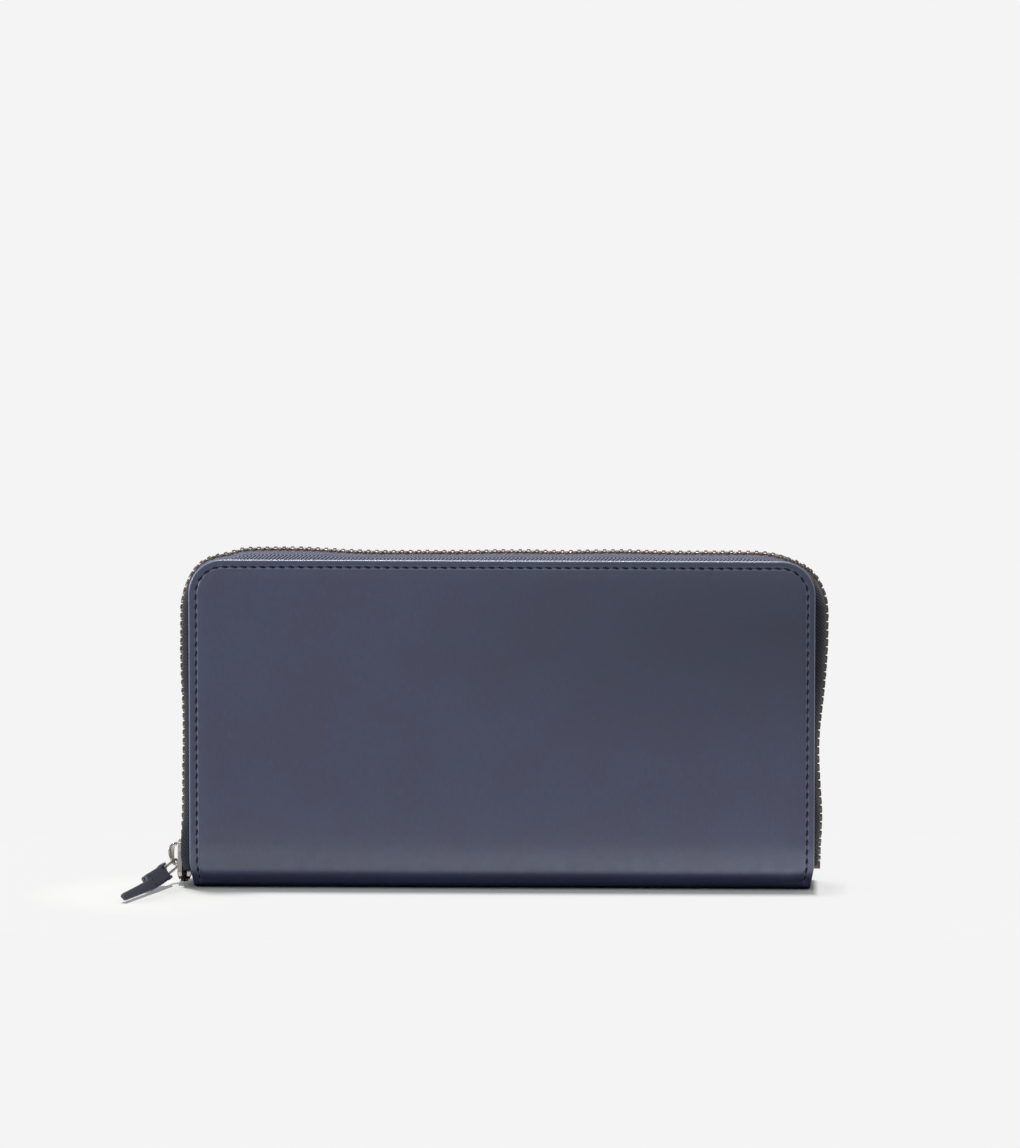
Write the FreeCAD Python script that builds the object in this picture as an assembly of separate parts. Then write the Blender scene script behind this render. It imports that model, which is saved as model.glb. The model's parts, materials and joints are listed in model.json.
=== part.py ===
import FreeCAD, Part
import math
import os

os.makedirs("parts", exist_ok=True)

# Zip-around passport holder, closed and standing on its folded spine.
# X runs along the spine, Y from the front cover to the back cover, Z up.
# The origin is the centre of the spine's underside.

# ---- overall sizes, mm ----
width = 200.0
height = 106.5
thickness = 24.0
corner_radius = 10.0
fold_radius = 7.0
spine_end_taper = 1.2
cover_low = fold_radius + 1.0

# ---- layers of each cover, from the outside in ----
leather = 1.2
board = 0.6
lining = 0.5
lining_inset = 1.5
lining_corner = 13.0
board_inset = 12.0
board_corner = 3.0

# ---- interior: sheets and the spaces between them ----
pocket_sheet = 0.6
card_sheet = 0.55
card_seam = 0.15
card_tiers = 4
card_tier_step = 11.0
card_lowest_top = 52.0
card_area_half_width = width / 2 - 10.0
card_bottom = 9.5
slip_seam = 0.15
seam_rim = 3.0
middle_seam_half = 1.0
slip_top = height - 10.0
banknote_space = 4.1
coin_space = 1.7
pocket_floor = 7.6
divider_half_width = width / 2 - 8.0
divider_top = height - 11.0
passport_half_width = 67.0
passport_pocket_top = 82.0
pocket_wall = 0.8

# ---- main zip ----
tooth_pitch = 2.7
tooth_along = 1.1
tooth_thick = 2.4
tooth_back = 2.7
tooth_tip = 0.4
tooth_head_thick = 1.7
tooth_head = 0.6
tape_thick = 0.6
tape_grip = 0.8
tape_flat = 6.2
tape_shoulder = 8.0
tape_shoulder_drop = 0.25
tape_edge = 9.4
tape_edge_drop = 0.8
tape_turn = 0.12
tape_turn_drop = 1.5
tape_wall_drop = 2.2
tape_sewn = 9.0
chain_stand_left = 2.1
chain_stand_right = 3.0
chain_stand_top = 1.3
chain_corner = 16.0
chain_lean_right = 1.5
chain_low_end = 2.4
chain_right_end = cover_low
stop_along = 0.9
stop_gap = 0.2
stop_width = 2.1
stop_margin = 0.4

# ---- zip slider ----
slider_bottom = 1.8
slider_length = 12.0
slider_plate = 0.9
slider_play = 0.12
slider_lobe = 1.2
slider_nose = 0.6
flange_thick = 0.75
flange_slot = 1.3
diamond_half = 1.0
diamond_length = 5.4
diamond_setback = 0.5
diamond_shoulder = 0.8
row_side_play = 0.15

# ---- crown and pull ----
crown_thick = 0.9
crown_window = 1.75
crown_half_width_top = 2.0
crown_half_width_low = 0.75
crown_from_top = 0.5
crown_low_leg = 7.1
crown_leg = 1.0
crown_round = 0.6
crown_taper_start = 2.0
link_wire = 0.7
link_length = 6.8
link_half_width = 1.45
link_bend = 0.7
link_play = 0.08
wire_sides = 6
link_yaw = 24.0
link_droop = 12.0
tab_fold_play = 0.12
tab_ply = 1.1
roll_sides = 12
tab_head_length = 20.0
tab_head_width = 6.0
tab_tail_width = 3.6
tab_tail_offset = 1.2
tab_length = 38.6
tab_yaw = -4.0
tab_tip_height = 2.4
tab_twist = 45.0
tab_bend = 0.22
tab_step = 0.4
tab_tip = 1.3
tab_bends = 3
stitch_inset = 2.2
stitch_spacing = 1.7
stitch_length = 1.1
stitch_rise = 0.3
thread = 0.5

# ---- gussets ----
gusset_sheet = 0.4
gusset_tab = 5.0
gusset_outer = width / 2 - 3.5
gusset_depth = 11.0
gusset_low = cover_low
gusset_from_top = 20.5
gusset_high = height - gusset_from_top
gusset_clear = 0.15

# ---- coin pocket zip ----
coin_pitch = 2.0
coin_tooth_along = 0.75
coin_tooth_thick = 1.6
coin_tooth_back = 1.6
coin_tooth_tip = 0.3
coin_zip_height = divider_top - 12.0
coin_zip_half = divider_half_width - 8.0
coin_tape = 0.5
coin_tape_width = 4.0
coin_slider_length = 8.5
coin_plate = 0.6
coin_diamond_half = 0.6
coin_setback = 0.4
coin_diamond_length = 3.8
coin_end_margin = 1.0
coin_tape_grip = 0.6
coin_flange = 0.5
coin_flange_slot = 1.0
coin_crown_window = 1.0
coin_crown_thick = 0.6
bail_start = 1.0
bail_end = 6.0
bail_half = 0.5
coin_pull_length = 16.0
coin_pull_half_width = 2.4
coin_pull_thick = 0.6
coin_pull_play = 0.2
coin_eye_play = 0.35
coin_eye_bar = 0.7
coin_eye_length = 2.2


def vec(x, y, z):
    return FreeCAD.Vector(x, y, z)


X = vec(1, 0, 0)
Y = vec(0, 1, 0)
Z = vec(0, 0, 1)


def box(x0, x1, y0, y1, z0, z1):
    return Part.makeBox(x1 - x0, y1 - y0, z1 - z0, vec(x0, y0, z0))


def polygon(points):
    return Part.Face(Part.makePolygon(points + [points[0]]))


def prism(points, lift):
    return polygon(points).extrude(lift)


def place(shape, origin, ex, ey, ez):
    moved = shape.copy()
    matrix = FreeCAD.Matrix(
        ex.x, ey.x, ez.x, origin.x,
        ex.y, ey.y, ez.y, origin.y,
        ex.z, ey.z, ez.z, origin.z,
        0, 0, 0, 1,
    )
    moved.Placement = FreeCAD.Placement(matrix).multiply(moved.Placement)
    return moved


def flip_y(shape):
    return shape.mirror(vec(0, 0, 0), Y)


def flip_x(shape):
    return shape.mirror(vec(0, 0, 0), X)


def save(name, shape):
    shape.exportStep("parts/" + name + ".step")


half_w = width / 2
half_t = thickness / 2
cover_inside = half_t - leather
board_inside = cover_inside - board
lining_inside = board_inside - lining


# ---- covers ----
def panel(half, low, high, radius, y_out, y_in):
    """An upright sheet with two rounded top corners, on the front side."""
    edge = [
        Part.LineSegment(vec(-half, -y_out, low), vec(-half, -y_out, high - radius)),
        corner_arc(-half + radius, high - radius, radius, -y_out, 180, 90),
        Part.LineSegment(vec(-half + radius, -y_out, high), vec(half - radius, -y_out, high)),
        corner_arc(half - radius, high - radius, radius, -y_out, 90, 0),
        Part.LineSegment(vec(half, -y_out, high - radius), vec(half, -y_out, low)),
        Part.LineSegment(vec(half, -y_out, low), vec(-half, -y_out, low)),
    ]
    face = Part.Face(Part.Wire([e.toShape() for e in edge]))
    return face.extrude(vec(0, y_out - y_in, 0))


def on_circle(cx, cz, radius, y, degrees):
    a = math.radians(degrees)
    return vec(cx + radius * math.cos(a), y, cz + radius * math.sin(a))


def corner_arc(cx, cz, radius, y, start, end):
    angles = (start, (start + end) / 2, end)
    return Part.Arc(*[on_circle(cx, cz, radius, y, a) for a in angles])


front_cover = panel(half_w, cover_low, height, corner_radius, half_t, cover_inside)
front_board = panel(
    half_w - board_inset, cover_low + board_corner, height - board_inset, board_corner,
    cover_inside, board_inside)
front_lining = panel(
    half_w - lining_inset, cover_low, height - lining_inset,
    lining_corner, board_inside, lining_inside)
save("front_cover", front_cover)
save("back_cover", flip_y(front_cover))
save("front_board", front_board)
save("back_board", flip_y(front_board))
save("front_lining", front_lining)
save("back_lining", flip_y(front_lining))


# ---- spine: leather folded under, and its lining ----
def folded_strip(outer, sheet, radius, low, high, half):
    """A sheet bent to a U that stands on its closed side, running along X."""
    def half_section(reach, bend, base):
        return [
            Part.LineSegment(vec(-half, -reach, high), vec(-half, -reach, base + bend)),
            Part.Arc(
                vec(-half, -reach, base + bend),
                vec(-half, -reach + bend * (1 - math.sqrt(0.5)),
                    base + bend * (1 - math.sqrt(0.5))),
                vec(-half, -reach + bend, base)),
        ]
    out = half_section(outer, radius, low)
    inn = half_section(outer - sheet, radius - sheet, low + sheet)
    edges = [g.toShape() for g in out + inn]
    edges.append(Part.makeLine(vec(-half, -outer, high), vec(-half, -outer + sheet, high)))
    edges.append(Part.makeLine(vec(-half, -outer + radius, low), vec(-half, 0, low)))
    edges.append(Part.makeLine(vec(-half, 0, low), vec(-half, 0, low + sheet)))
    edges.append(Part.makeLine(vec(-half, -outer + radius, low + sheet),
                               vec(-half, 0, low + sheet)))
    wire = Part.Wire(Part.__sortEdges__(edges))
    front = Part.Face(wire).extrude(vec(2 * half, 0, 0))
    return front.fuse(flip_y(front)).removeSplitter()


spine = folded_strip(half_t, leather, fold_radius, 0, cover_low, half_w)
taper = prism([
    vec(-half_w, -half_t, cover_low),
    vec(-half_w + spine_end_taper, -half_t, 0),
    vec(half_w - spine_end_taper, -half_t, 0),
    vec(half_w, -half_t, cover_low),
], vec(0, thickness, 0))
spine = spine.common(taper)
save("spine", spine)
spine_lining = folded_strip(
    cover_inside, lining, fold_radius - leather, leather,
    cover_low, half_w - 2 * lining_inset)
save("spine_lining", spine_lining)

# ---- path of the main zip round the covers ----
path_left = -half_w - chain_stand_left
path_right = half_w + chain_stand_right
path_top = height + chain_stand_top
path_corner = chain_corner
corner_z = path_top - path_corner
left_cx = path_left + path_corner
right_cx = path_right - path_corner
lean = math.radians(chain_lean_right)
left_run = corner_z - chain_low_end
left_turn = path_corner * math.pi / 2
top_run = right_cx - left_cx
right_turn = path_corner * (math.pi / 2 + lean)
right_top = on_circle(right_cx, corner_z, path_corner, 0, -chain_lean_right)
right_run = (right_top.z - chain_right_end) / math.cos(lean)
path_length = left_run + left_turn + top_run + right_turn + right_run


def path_frame(s):
    """Point, forward direction and outward direction at a distance along the chain."""
    if s < left_run:
        return vec(path_left, 0, chain_low_end + s), vec(0, 0, 1), vec(-1, 0, 0)
    s -= left_run
    if s < left_turn:
        a = math.pi - s / path_corner
        out = vec(math.cos(a), 0, math.sin(a))
        return vec(left_cx, 0, corner_z) + out * path_corner, vec(out.z, 0, -out.x), out
    s -= left_turn
    if s < top_run:
        return vec(left_cx + s, 0, path_top), vec(1, 0, 0), vec(0, 0, 1)
    s -= top_run
    if s < right_turn:
        a = math.pi / 2 - s / path_corner
        out = vec(math.cos(a), 0, math.sin(a))
        return vec(right_cx, 0, corner_z) + out * path_corner, vec(out.z, 0, -out.x), out
    s -= right_turn
    out = vec(math.cos(lean), 0, -math.sin(lean))
    along = vec(out.z, 0, -out.x)
    return right_top + along * s, along, out


slider_top = slider_bottom + slider_length
diamond_wide = slider_bottom + diamond_setback
diamond_tip = diamond_wide + diamond_length
part_start = diamond_tip + tooth_pitch
row_wide = diamond_wide + diamond_shoulder + tooth_along / 2 + row_side_play
row_shift_full = diamond_half + tooth_tip + row_side_play


def row_shift(z_above, wide, start, full):
    """How far a row of teeth is pushed aside beside the slider's diamond."""
    if z_above >= start:
        return 0.0
    if z_above <= wide:
        return full
    return full * (start - z_above) / (start - wide)


# ---- main zip teeth ----
def tooth_shape(back, tip, thick, head_thick, head, along):
    h = thick / 2
    g = head_thick / 2
    points = [
        vec(0, -back, h), vec(0, tip - head, h), vec(0, tip, g),
        vec(0, tip, -g), vec(0, tip - head, -h), vec(0, -back, -h),
    ]
    solid = prism(points, vec(along, 0, 0))
    solid.translate(vec(-along / 2, 0, 0))
    return solid


front_tooth = tooth_shape(
    tooth_back, tooth_tip, tooth_thick, tooth_head_thick, tooth_head, tooth_along)
back_tooth = flip_y(front_tooth)


def zip_row(tooth, side, first):
    solids = []
    s = first
    while s + tooth_along / 2 < path_length:
        point, along, out = path_frame(s)
        shift = row_shift(s + chain_low_end, row_wide, part_start, row_shift_full)
        solids.append(place(tooth, point + vec(0, side * shift, 0), along, Y, out))
        s += tooth_pitch
    return solids


front_row = zip_row(front_tooth, -1, tooth_along)
back_row = zip_row(back_tooth, 1, tooth_along + tooth_pitch / 2)
save("front_zip_teeth", Part.makeCompound(front_row))
save("back_zip_teeth", Part.makeCompound(back_row))

stop_y = -tooth_back - row_shift_full
front_top_stop = box(
    path_left - tooth_thick / 2, path_left + tooth_thick / 2,
    stop_y, stop_y + stop_width,
    chain_low_end - stop_along - stop_gap, chain_low_end - stop_gap)
save("front_top_stop", front_top_stop)
save("back_top_stop", flip_y(front_top_stop))

end_point, end_along, end_out = path_frame(path_length + stop_gap)
bottom_stop = place(
    Part.makeBox(2 * stop_along, 2 * tooth_back, tooth_thick,
                 vec(0, -tooth_back, -tooth_thick / 2)),
    end_point, end_along, Y, end_out)
save("bottom_stop", bottom_stop)


# ---- main zip tapes ----
def tape_section():
    """Section of the front tape: across the chain, round the edge, into the cover."""
    sewn_y = -(cover_inside + board_inside) / 2
    centre = [
        (-(tooth_back - tape_grip), 0.0), (-tape_flat, 0.0),
        (-tape_shoulder, -tape_shoulder_drop), (-tape_edge, -tape_edge_drop),
        (sewn_y + tape_turn, -tape_turn_drop), (sewn_y, -tape_wall_drop),
        (sewn_y, -tape_sewn),
    ]
    upper = []
    lower = []
    for i, (y, n) in enumerate(centre):
        before = centre[max(i - 1, 0)]
        after = centre[min(i + 1, len(centre) - 1)]
        dy = after[0] - before[0]
        dn = after[1] - before[1]
        half = tape_thick / 2 / math.hypot(dy, dn)
        upper.append((y - dn * half, n + dy * half))
        lower.append((y + dn * half, n - dy * half))
    return upper, lower


def left_profile(outline, z):
    """A section of the tape laid across the chain's left run."""
    return [vec(path_left - n, y, z) for y, n in outline]


def sweep_tape(upper, lower):
    start = vec(path_left, 0, part_start)
    left = corner_arc(left_cx, corner_z, path_corner, 0, 180, 90)
    right = corner_arc(right_cx, corner_z, path_corner, 0, 90, -chain_lean_right)
    end, _, _ = path_frame(path_length)
    wire = Part.Wire([
        Part.makeLine(start, left.StartPoint),
        left.toShape(),
        Part.makeLine(left.EndPoint, right.StartPoint),
        right.toShape(),
        Part.makeLine(right.EndPoint, end),
    ])
    outline = upper + lower[::-1]
    profile = Part.makePolygon(left_profile(outline + [outline[0]], part_start))
    pipe = Part.BRepOffsetAPI.MakePipeShell(wire)
    pipe.setBiNormalMode(Y)
    pipe.add(profile)
    pipe.build()
    pipe.makeSolid()
    return pipe.shape()


tape_upper, tape_lower = tape_section()
tape_run = sweep_tape(tape_upper, tape_lower)
wall_outline = tape_upper[1:] + tape_lower[:0:-1]
low_wall = prism(left_profile(wall_outline, cover_low), vec(0, 0, part_start - cover_low))


def low_tape():
    """The parted end of the front tape beside the slider, a flat strip."""
    x0 = path_left - tape_thick / 2
    inner = tooth_back - tape_grip
    edge = [
        vec(x0, -inner, part_start),
        vec(x0, -inner - row_shift_full, row_wide),
        vec(x0, -inner - row_shift_full, chain_low_end - stop_along - stop_gap - stop_margin),
        vec(x0, -tape_flat, chain_low_end - stop_along - stop_gap - stop_margin),
        vec(x0, -tape_flat, part_start),
    ]
    return prism(edge, vec(tape_thick, 0, 0))


front_zip_tape = tape_run.fuse([low_tape(), low_wall]).removeSplitter()
save("front_zip_tape", front_zip_tape)
save("back_zip_tape", flip_y(front_zip_tape))


# ---- zip sliders ----
def slider_shape(length, neck, flare, plate, thick, slot, flange, dia_half, dia_len,
                 back, setback, shift):
    """Slider body: x runs from the narrow end to the wide end, z points outward."""
    gap = thick / 2 + slider_play
    narrow = back + row_side_play
    wide = narrow + shift
    flank = [(0, narrow), (neck, narrow), (flare, wide)]

    def plan(extra, lobe=0.0):
        edge = [vec(x, y + extra, 0) for x, y in flank]
        edge.append(vec(length - lobe, wide + extra, 0))
        if lobe:
            edge.append(vec(length, wide + extra - lobe, 0))
        return edge + [vec(p.x, -p.y, 0) for p in reversed(edge)]

    plates = []
    for z0 in (gap, -gap - plate):
        sheet = prism(plan(flange, slider_lobe), vec(0, 0, plate))
        sheet.translate(vec(0, 0, z0))
        plates.append(sheet)
    ring = prism(plan(flange, slider_lobe), vec(0, 0, 2 * gap))
    ring = ring.cut(prism(plan(0), vec(0, 0, 2 * gap)))
    ring.translate(vec(0, 0, -gap))
    slot_box = Part.makeBox(length, 4 * wide, slot, vec(0, -2 * wide, -slot / 2))
    ring = ring.cut(slot_box)
    tip_x = length - setback - dia_len
    diamond = prism([
        vec(tip_x, 0, -gap), vec(length - setback - diamond_shoulder, -dia_half, -gap),
        vec(length - setback, -dia_half / 2, -gap),
        vec(length - setback, dia_half / 2, -gap),
        vec(length - setback - diamond_shoulder, dia_half, -gap),
    ], vec(0, 0, 2 * gap))
    body = plates[0].fuse([plates[1], ring, diamond])
    face = gap + plate
    for side in (1, -1):
        body = body.cut(prism([
            vec(length - 2 * plate, -2 * wide, side * face), vec(length, -2 * wide, side * face),
            vec(length, -2 * wide, side * (face - slider_nose * plate)),
        ], vec(0, 4 * wide, 0)))
    return body.removeSplitter(), face


zip_slider, slider_face = slider_shape(
    slider_length, slider_top - part_start - tooth_along / 2,
    slider_top - row_wide - tooth_along / 2, slider_plate, tooth_thick, flange_slot,
    flange_thick, diamond_half, diamond_length, tooth_back, diamond_setback,
    row_shift_full)
slider_origin = vec(path_left, 0, slider_top)
down = vec(0, 0, -1)
outward = vec(-1, 0, 0)
save("zip_slider", place(zip_slider, slider_origin, down, Y * -1, outward))

# ---- crown: the arch on the slider's outer plate ----
crown_end = crown_low_leg + crown_leg
crown_rise = slider_face + crown_window
crown_top = crown_rise + crown_thick
crown_outer = [
    vec(crown_from_top, 0, slider_face), vec(crown_from_top, 0, crown_rise),
    vec(crown_from_top + crown_round, 0, crown_top),
    vec(crown_end - crown_round, 0, crown_top),
    vec(crown_end, 0, crown_top - crown_round), vec(crown_end, 0, slider_face),
]
crown_inner = [
    vec(crown_from_top + crown_leg, 0, slider_face),
    vec(crown_from_top + crown_leg, 0, crown_rise),
    vec(crown_low_leg, 0, crown_rise), vec(crown_low_leg, 0, slider_face),
]
crown = prism(crown_outer, vec(0, 2 * crown_half_width_top, 0))
crown = crown.cut(prism(crown_inner, vec(0, 2 * crown_half_width_top, 0)))
crown.translate(vec(0, -crown_half_width_top, 0))
wide_to = crown_from_top + crown_taper_start
narrow_from = crown_low_leg - crown_leg
crown_plan = prism([
    vec(crown_from_top, -crown_half_width_top, 0), vec(wide_to, -crown_half_width_top, 0),
    vec(narrow_from, -crown_half_width_low, 0), vec(crown_end, -crown_half_width_low, 0),
    vec(crown_end, crown_half_width_low, 0), vec(narrow_from, crown_half_width_low, 0),
    vec(wide_to, crown_half_width_top, 0), vec(crown_from_top, crown_half_width_top, 0),
], vec(0, 0, 2 * crown_top))
crown = crown.common(crown_plan)
save("slider_crown", place(crown, slider_origin, down, Y * -1, outward))

# ---- wire link round the crown's lower leg ----
yaw = math.radians(link_yaw)
droop = math.radians(link_droop)
link_forward = vec(
    -math.sin(yaw) * math.cos(droop), -math.cos(yaw) * math.cos(droop), -math.sin(droop))
link_side = vec(
    -math.sin(yaw) * math.sin(droop), -math.cos(yaw) * math.sin(droop), math.cos(droop))
link_normal = link_forward.cross(link_side)
leg_centre = slider_origin + down * (crown_low_leg + crown_leg / 2)
leg_centre += outward * (slider_face + crown_window / 2 + link_play)


def link_shape():
    """Stirrup in its own plane: a round eye behind, a straight bar in front."""
    w = link_half_width
    r = link_bend
    c = r * (1 - math.sqrt(0.5))
    far = link_length
    loop = Part.Wire([
        Part.makeLine(vec(0, w, 0), vec(far - r, w, 0)),
        Part.Arc(vec(far - r, w, 0), vec(far - c, w - c, 0), vec(far, w - r, 0)).toShape(),
        Part.makeLine(vec(far, w - r, 0), vec(far, r - w, 0)),
        Part.Arc(vec(far, r - w, 0), vec(far - c, c - w, 0), vec(far - r, -w, 0)).toShape(),
        Part.makeLine(vec(far - r, -w, 0), vec(0, -w, 0)),
        Part.Arc(vec(0, -w, 0), vec(-w, 0, 0), vec(0, w, 0)).toShape(),
    ])
    ring = []
    for i in range(wire_sides + 1):
        a = 2 * math.pi * (i + 0.5) / wire_sides
        ring.append(vec(0, w + link_wire / 2 * math.cos(a), link_wire / 2 * math.sin(a)))
    pipe = Part.BRepOffsetAPI.MakePipeShell(loop)
    pipe.setBiNormalMode(Z)
    pipe.add(Part.makePolygon(ring))
    pipe.build()
    pipe.makeSolid()
    return pipe.shape()


pull_link = place(link_shape(), leg_centre, link_forward, link_side, link_normal)
save("pull_link", pull_link)
bar_centre = leg_centre + link_forward * link_length

# ---- leather pull tab: folded over the link's bar, then a tail to the floor ----
fold_bore = link_wire / 2 + tab_fold_play
fold_outer = fold_bore + tab_ply
turn = math.radians(tab_yaw)
tab_flat = link_forward * math.cos(turn) + link_normal * math.sin(turn)
tab_flat = tab_flat.normalize()
tab_normal = tab_flat.cross(link_side).normalize()
tail_end = vec(bar_centre.x, bar_centre.y, tab_tip_height) + vec(
    tab_flat.x, tab_flat.y, 0).normalize() * math.sqrt(
        tab_length ** 2 - (bar_centre.z - tab_tip_height) ** 2)


def strip_frame(t):
    """Centre and directions of the strip, from the bar (0) to the tip (1)."""
    start = bar_centre
    bend = start + tab_flat * (tab_length * tab_bend)
    centre = start * (1 - t) ** 2 + bend * (2 * t * (1 - t)) + tail_end * t ** 2
    along = ((bend - start) * (1 - t) + (tail_end - bend) * t).normalize()
    side = (link_side - along * link_side.dot(along)).normalize()
    normal = along.cross(side)
    head = tab_head_length / tab_length
    angle = math.radians(tab_twist) * max(0.0, (t - head) / (1 - head))
    turned = side * math.cos(angle) + normal * math.sin(angle)
    return centre, along, turned, along.cross(turned)


def strip_corners(t, wide, shift, low, high):
    centre, along, side, normal = strip_frame(t)
    centre -= side * shift
    half = side * (wide / 2)
    return [
        centre + half + normal * low, centre + half + normal * high,
        centre - half + normal * high, centre - half + normal * low,
    ]


def strip(stations, low, high):
    """A length of the leather tab, with flat facets between its stations."""
    rows = [strip_corners(*station, low, high) for station in stations]
    faces = [polygon(rows[0]), polygon(rows[-1])]
    for before, after in zip(rows, rows[1:]):
        for i in range(4):
            j = (i + 1) % 4
            faces.append(polygon([before[i], before[j], after[j]]))
            faces.append(polygon([before[i], after[j], after[i]]))
    solid = Part.Solid(Part.Shell(faces))
    if solid.Volume < 0:
        solid.reverse()
    return solid


head_end = tab_head_length / tab_length
fold_end = fold_outer / tab_length
tail_start = (tab_head_length + tab_step) / tab_length
tip_start = 1 - tab_tip / tab_length
head_stations = [(t, tab_head_width, 0.0) for t in (fold_end / 2, head_end / 2, head_end)]
tail_stations = [
    (tail_start + (tip_start - tail_start) * i / tab_bends, tab_tail_width, tab_tail_offset)
    for i in range(tab_bends + 1)]
tip_station = (1.0, tab_tail_width - tab_tip, tab_tail_offset)
head = strip(head_stations, -tab_ply, tab_ply)
tail = strip(head_stations[-1:] + tail_stations + [tip_station], -tab_ply, 0)
round_points = []
for i in range(roll_sides):
    a = 2 * math.pi * (i + 0.5) / roll_sides
    round_points.append(
        bar_centre - link_side * (tab_head_width / 2) +
        (tab_flat * math.cos(a) + tab_normal * math.sin(a)) * fold_outer)
roll = prism(round_points, link_side * tab_head_width)
tab = head.fuse([tail, roll])
slot_width = link_wire + 2 * tab_fold_play
slot_low = link_half_width - slot_width / 2
bore_half = slot_low + slot_width
bore = Part.makeCylinder(
    fold_bore, 2 * bore_half, bar_centre - link_side * bore_half, link_side)
tab = tab.cut(bore)
tab_frame = (bar_centre, tab_flat, link_side, tab_flat.cross(link_side))
for low in (slot_low, -slot_low - slot_width):
    slot = Part.makeBox(
        3 * fold_outer + fold_bore, slot_width, 4 * fold_outer,
        vec(-3 * fold_outer, low, -2 * fold_outer))
    tab = tab.cut(place(slot, *tab_frame))
pull_tab = tab.removeSplitter()
save("pull_tab", pull_tab)

# ---- thread that closes the tab's fold ----
stitch_t = (tab_head_length - stitch_inset) / tab_length
centre, along, side, normal = strip_frame(stitch_t)
stitches = []
for offset in (-stitch_spacing, 0.0, stitch_spacing):
    bead = Part.makeBox(
        thread, stitch_length, stitch_rise,
        vec(-thread / 2, offset - stitch_length / 2, tab_ply))
    stitches.append(place(bead, centre, along, side, normal))
save("tab_thread", Part.makeCompound(stitches))

# ---- slip pocket and card pockets on the front lining ----
y = -lining_inside


def pocket_tray(y_back, seam, sheet, half, low, high, rim):
    """A flat pocket wall with a seam round its sides and foot, facing the front lining."""
    wall = box(-half, half, y_back + seam, y_back + seam + sheet, low, high)
    foot = box(-half, half, y_back, y_back + seam, low, low + rim)
    left = box(-half, -half + rim, y_back, y_back + seam, low, high)
    right = box(half - rim, half, y_back, y_back + seam, low, high)
    return wall.fuse([foot, left, right])


slip_pocket = pocket_tray(
    y, slip_seam, card_sheet, card_area_half_width, cover_low, slip_top, seam_rim)
save("slip_pocket", slip_pocket)
y += slip_seam + card_sheet
for tier in range(card_tiers):
    top = card_lowest_top + card_tier_step * (card_tiers - 1 - tier)
    tray = pocket_tray(
        y, card_seam, card_sheet, card_area_half_width, card_bottom, top, seam_rim)
    middle_seam = box(
        -middle_seam_half, middle_seam_half, y, y + card_seam, card_bottom, top)
    save("card_pocket_" + str(tier + 1), tray.fuse(middle_seam).removeSplitter())
    y += card_seam + card_sheet
card_face = y

# ---- centre divider with the coin pocket ----
coin_front = card_face + banknote_space
coin_wall_in = coin_front + pocket_sheet
coin_back_in = coin_wall_in + coin_space
coin_back = coin_back_in + pocket_sheet
zip_band_low = coin_zip_height - coin_tape_width
zip_band_high = coin_zip_height + coin_tape_width
front_wall = box(
    -divider_half_width, divider_half_width, coin_front, coin_wall_in,
    pocket_floor, zip_band_low)
wall_foot = box(
    -divider_half_width, divider_half_width, coin_wall_in, coin_back_in,
    pocket_floor, pocket_floor + seam_rim)
wall_sides = [
    box(x, x + seam_rim, coin_wall_in, coin_back_in, pocket_floor, zip_band_low)
    for x in (-divider_half_width, divider_half_width - seam_rim)]
save("coin_pocket_front", front_wall.fuse([wall_foot] + wall_sides).removeSplitter())
save("coin_pocket_back", box(
    -divider_half_width, divider_half_width, coin_back_in, coin_back,
    pocket_floor, divider_top))
facing = box(
    -divider_half_width, divider_half_width, coin_front, coin_wall_in,
    zip_band_high, divider_top)
facing_seam = box(
    -divider_half_width, divider_half_width, coin_wall_in, coin_back_in,
    divider_top - seam_rim, divider_top)
cap_from = coin_zip_half + coin_end_margin
end_caps = [
    box(x0, x1, coin_front, coin_wall_in, zip_band_low, zip_band_high)
    for x0, x1 in ((-divider_half_width, -cap_from), (cap_from, divider_half_width))]
save("coin_zip_facing", facing.fuse([facing_seam] + end_caps).removeSplitter())

# ---- coin pocket zip: rows along X, closed with the slider at the left ----
coin_plane = (coin_front + coin_wall_in) / 2
coin_slider_wide = -coin_zip_half + coin_end_margin
coin_part_wide = coin_slider_wide + coin_setback
coin_part_start = coin_part_wide + coin_diamond_length + coin_pitch
coin_shift = coin_diamond_half + coin_tooth_tip + row_side_play
coin_row_wide = coin_part_wide + diamond_shoulder + coin_tooth_along + row_side_play
coin_narrow_end = coin_slider_wide + coin_slider_length
lower_teeth = []
upper_teeth = []
steps = int((2 * coin_zip_half - 2 * coin_end_margin) / coin_pitch)
for i in range(steps):
    x = -coin_zip_half + coin_end_margin + coin_pitch * i
    s = row_shift(x + coin_tooth_along / 2, coin_row_wide, coin_part_start, coin_shift)
    z = coin_zip_height - s
    lower_teeth.append(box(
        x, x + coin_tooth_along, coin_plane - coin_tooth_thick / 2,
        coin_plane + coin_tooth_thick / 2, z - coin_tooth_back, z + coin_tooth_tip))
    x += coin_pitch / 2
    s = row_shift(x + coin_tooth_along / 2, coin_row_wide, coin_part_start, coin_shift)
    z = coin_zip_height + s
    upper_teeth.append(box(
        x, x + coin_tooth_along, coin_plane - coin_tooth_thick / 2,
        coin_plane + coin_tooth_thick / 2, z - coin_tooth_tip, z + coin_tooth_back))
save("coin_lower_teeth", Part.makeCompound(lower_teeth))
save("coin_upper_teeth", Part.makeCompound(upper_teeth))


def coin_tape_shape(side):
    inner = coin_tooth_back - coin_tape_grip
    y0 = coin_plane - coin_tape / 2
    end = coin_zip_half + coin_end_margin

    def at(x, away):
        return vec(x, y0, coin_zip_height + side * away)
    return prism([
        at(-end, coin_tape_width), at(-end, inner + coin_shift),
        at(coin_row_wide, inner + coin_shift), at(coin_part_start, inner),
        at(end, inner), at(end, coin_tape_width)], vec(0, coin_tape, 0))


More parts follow.
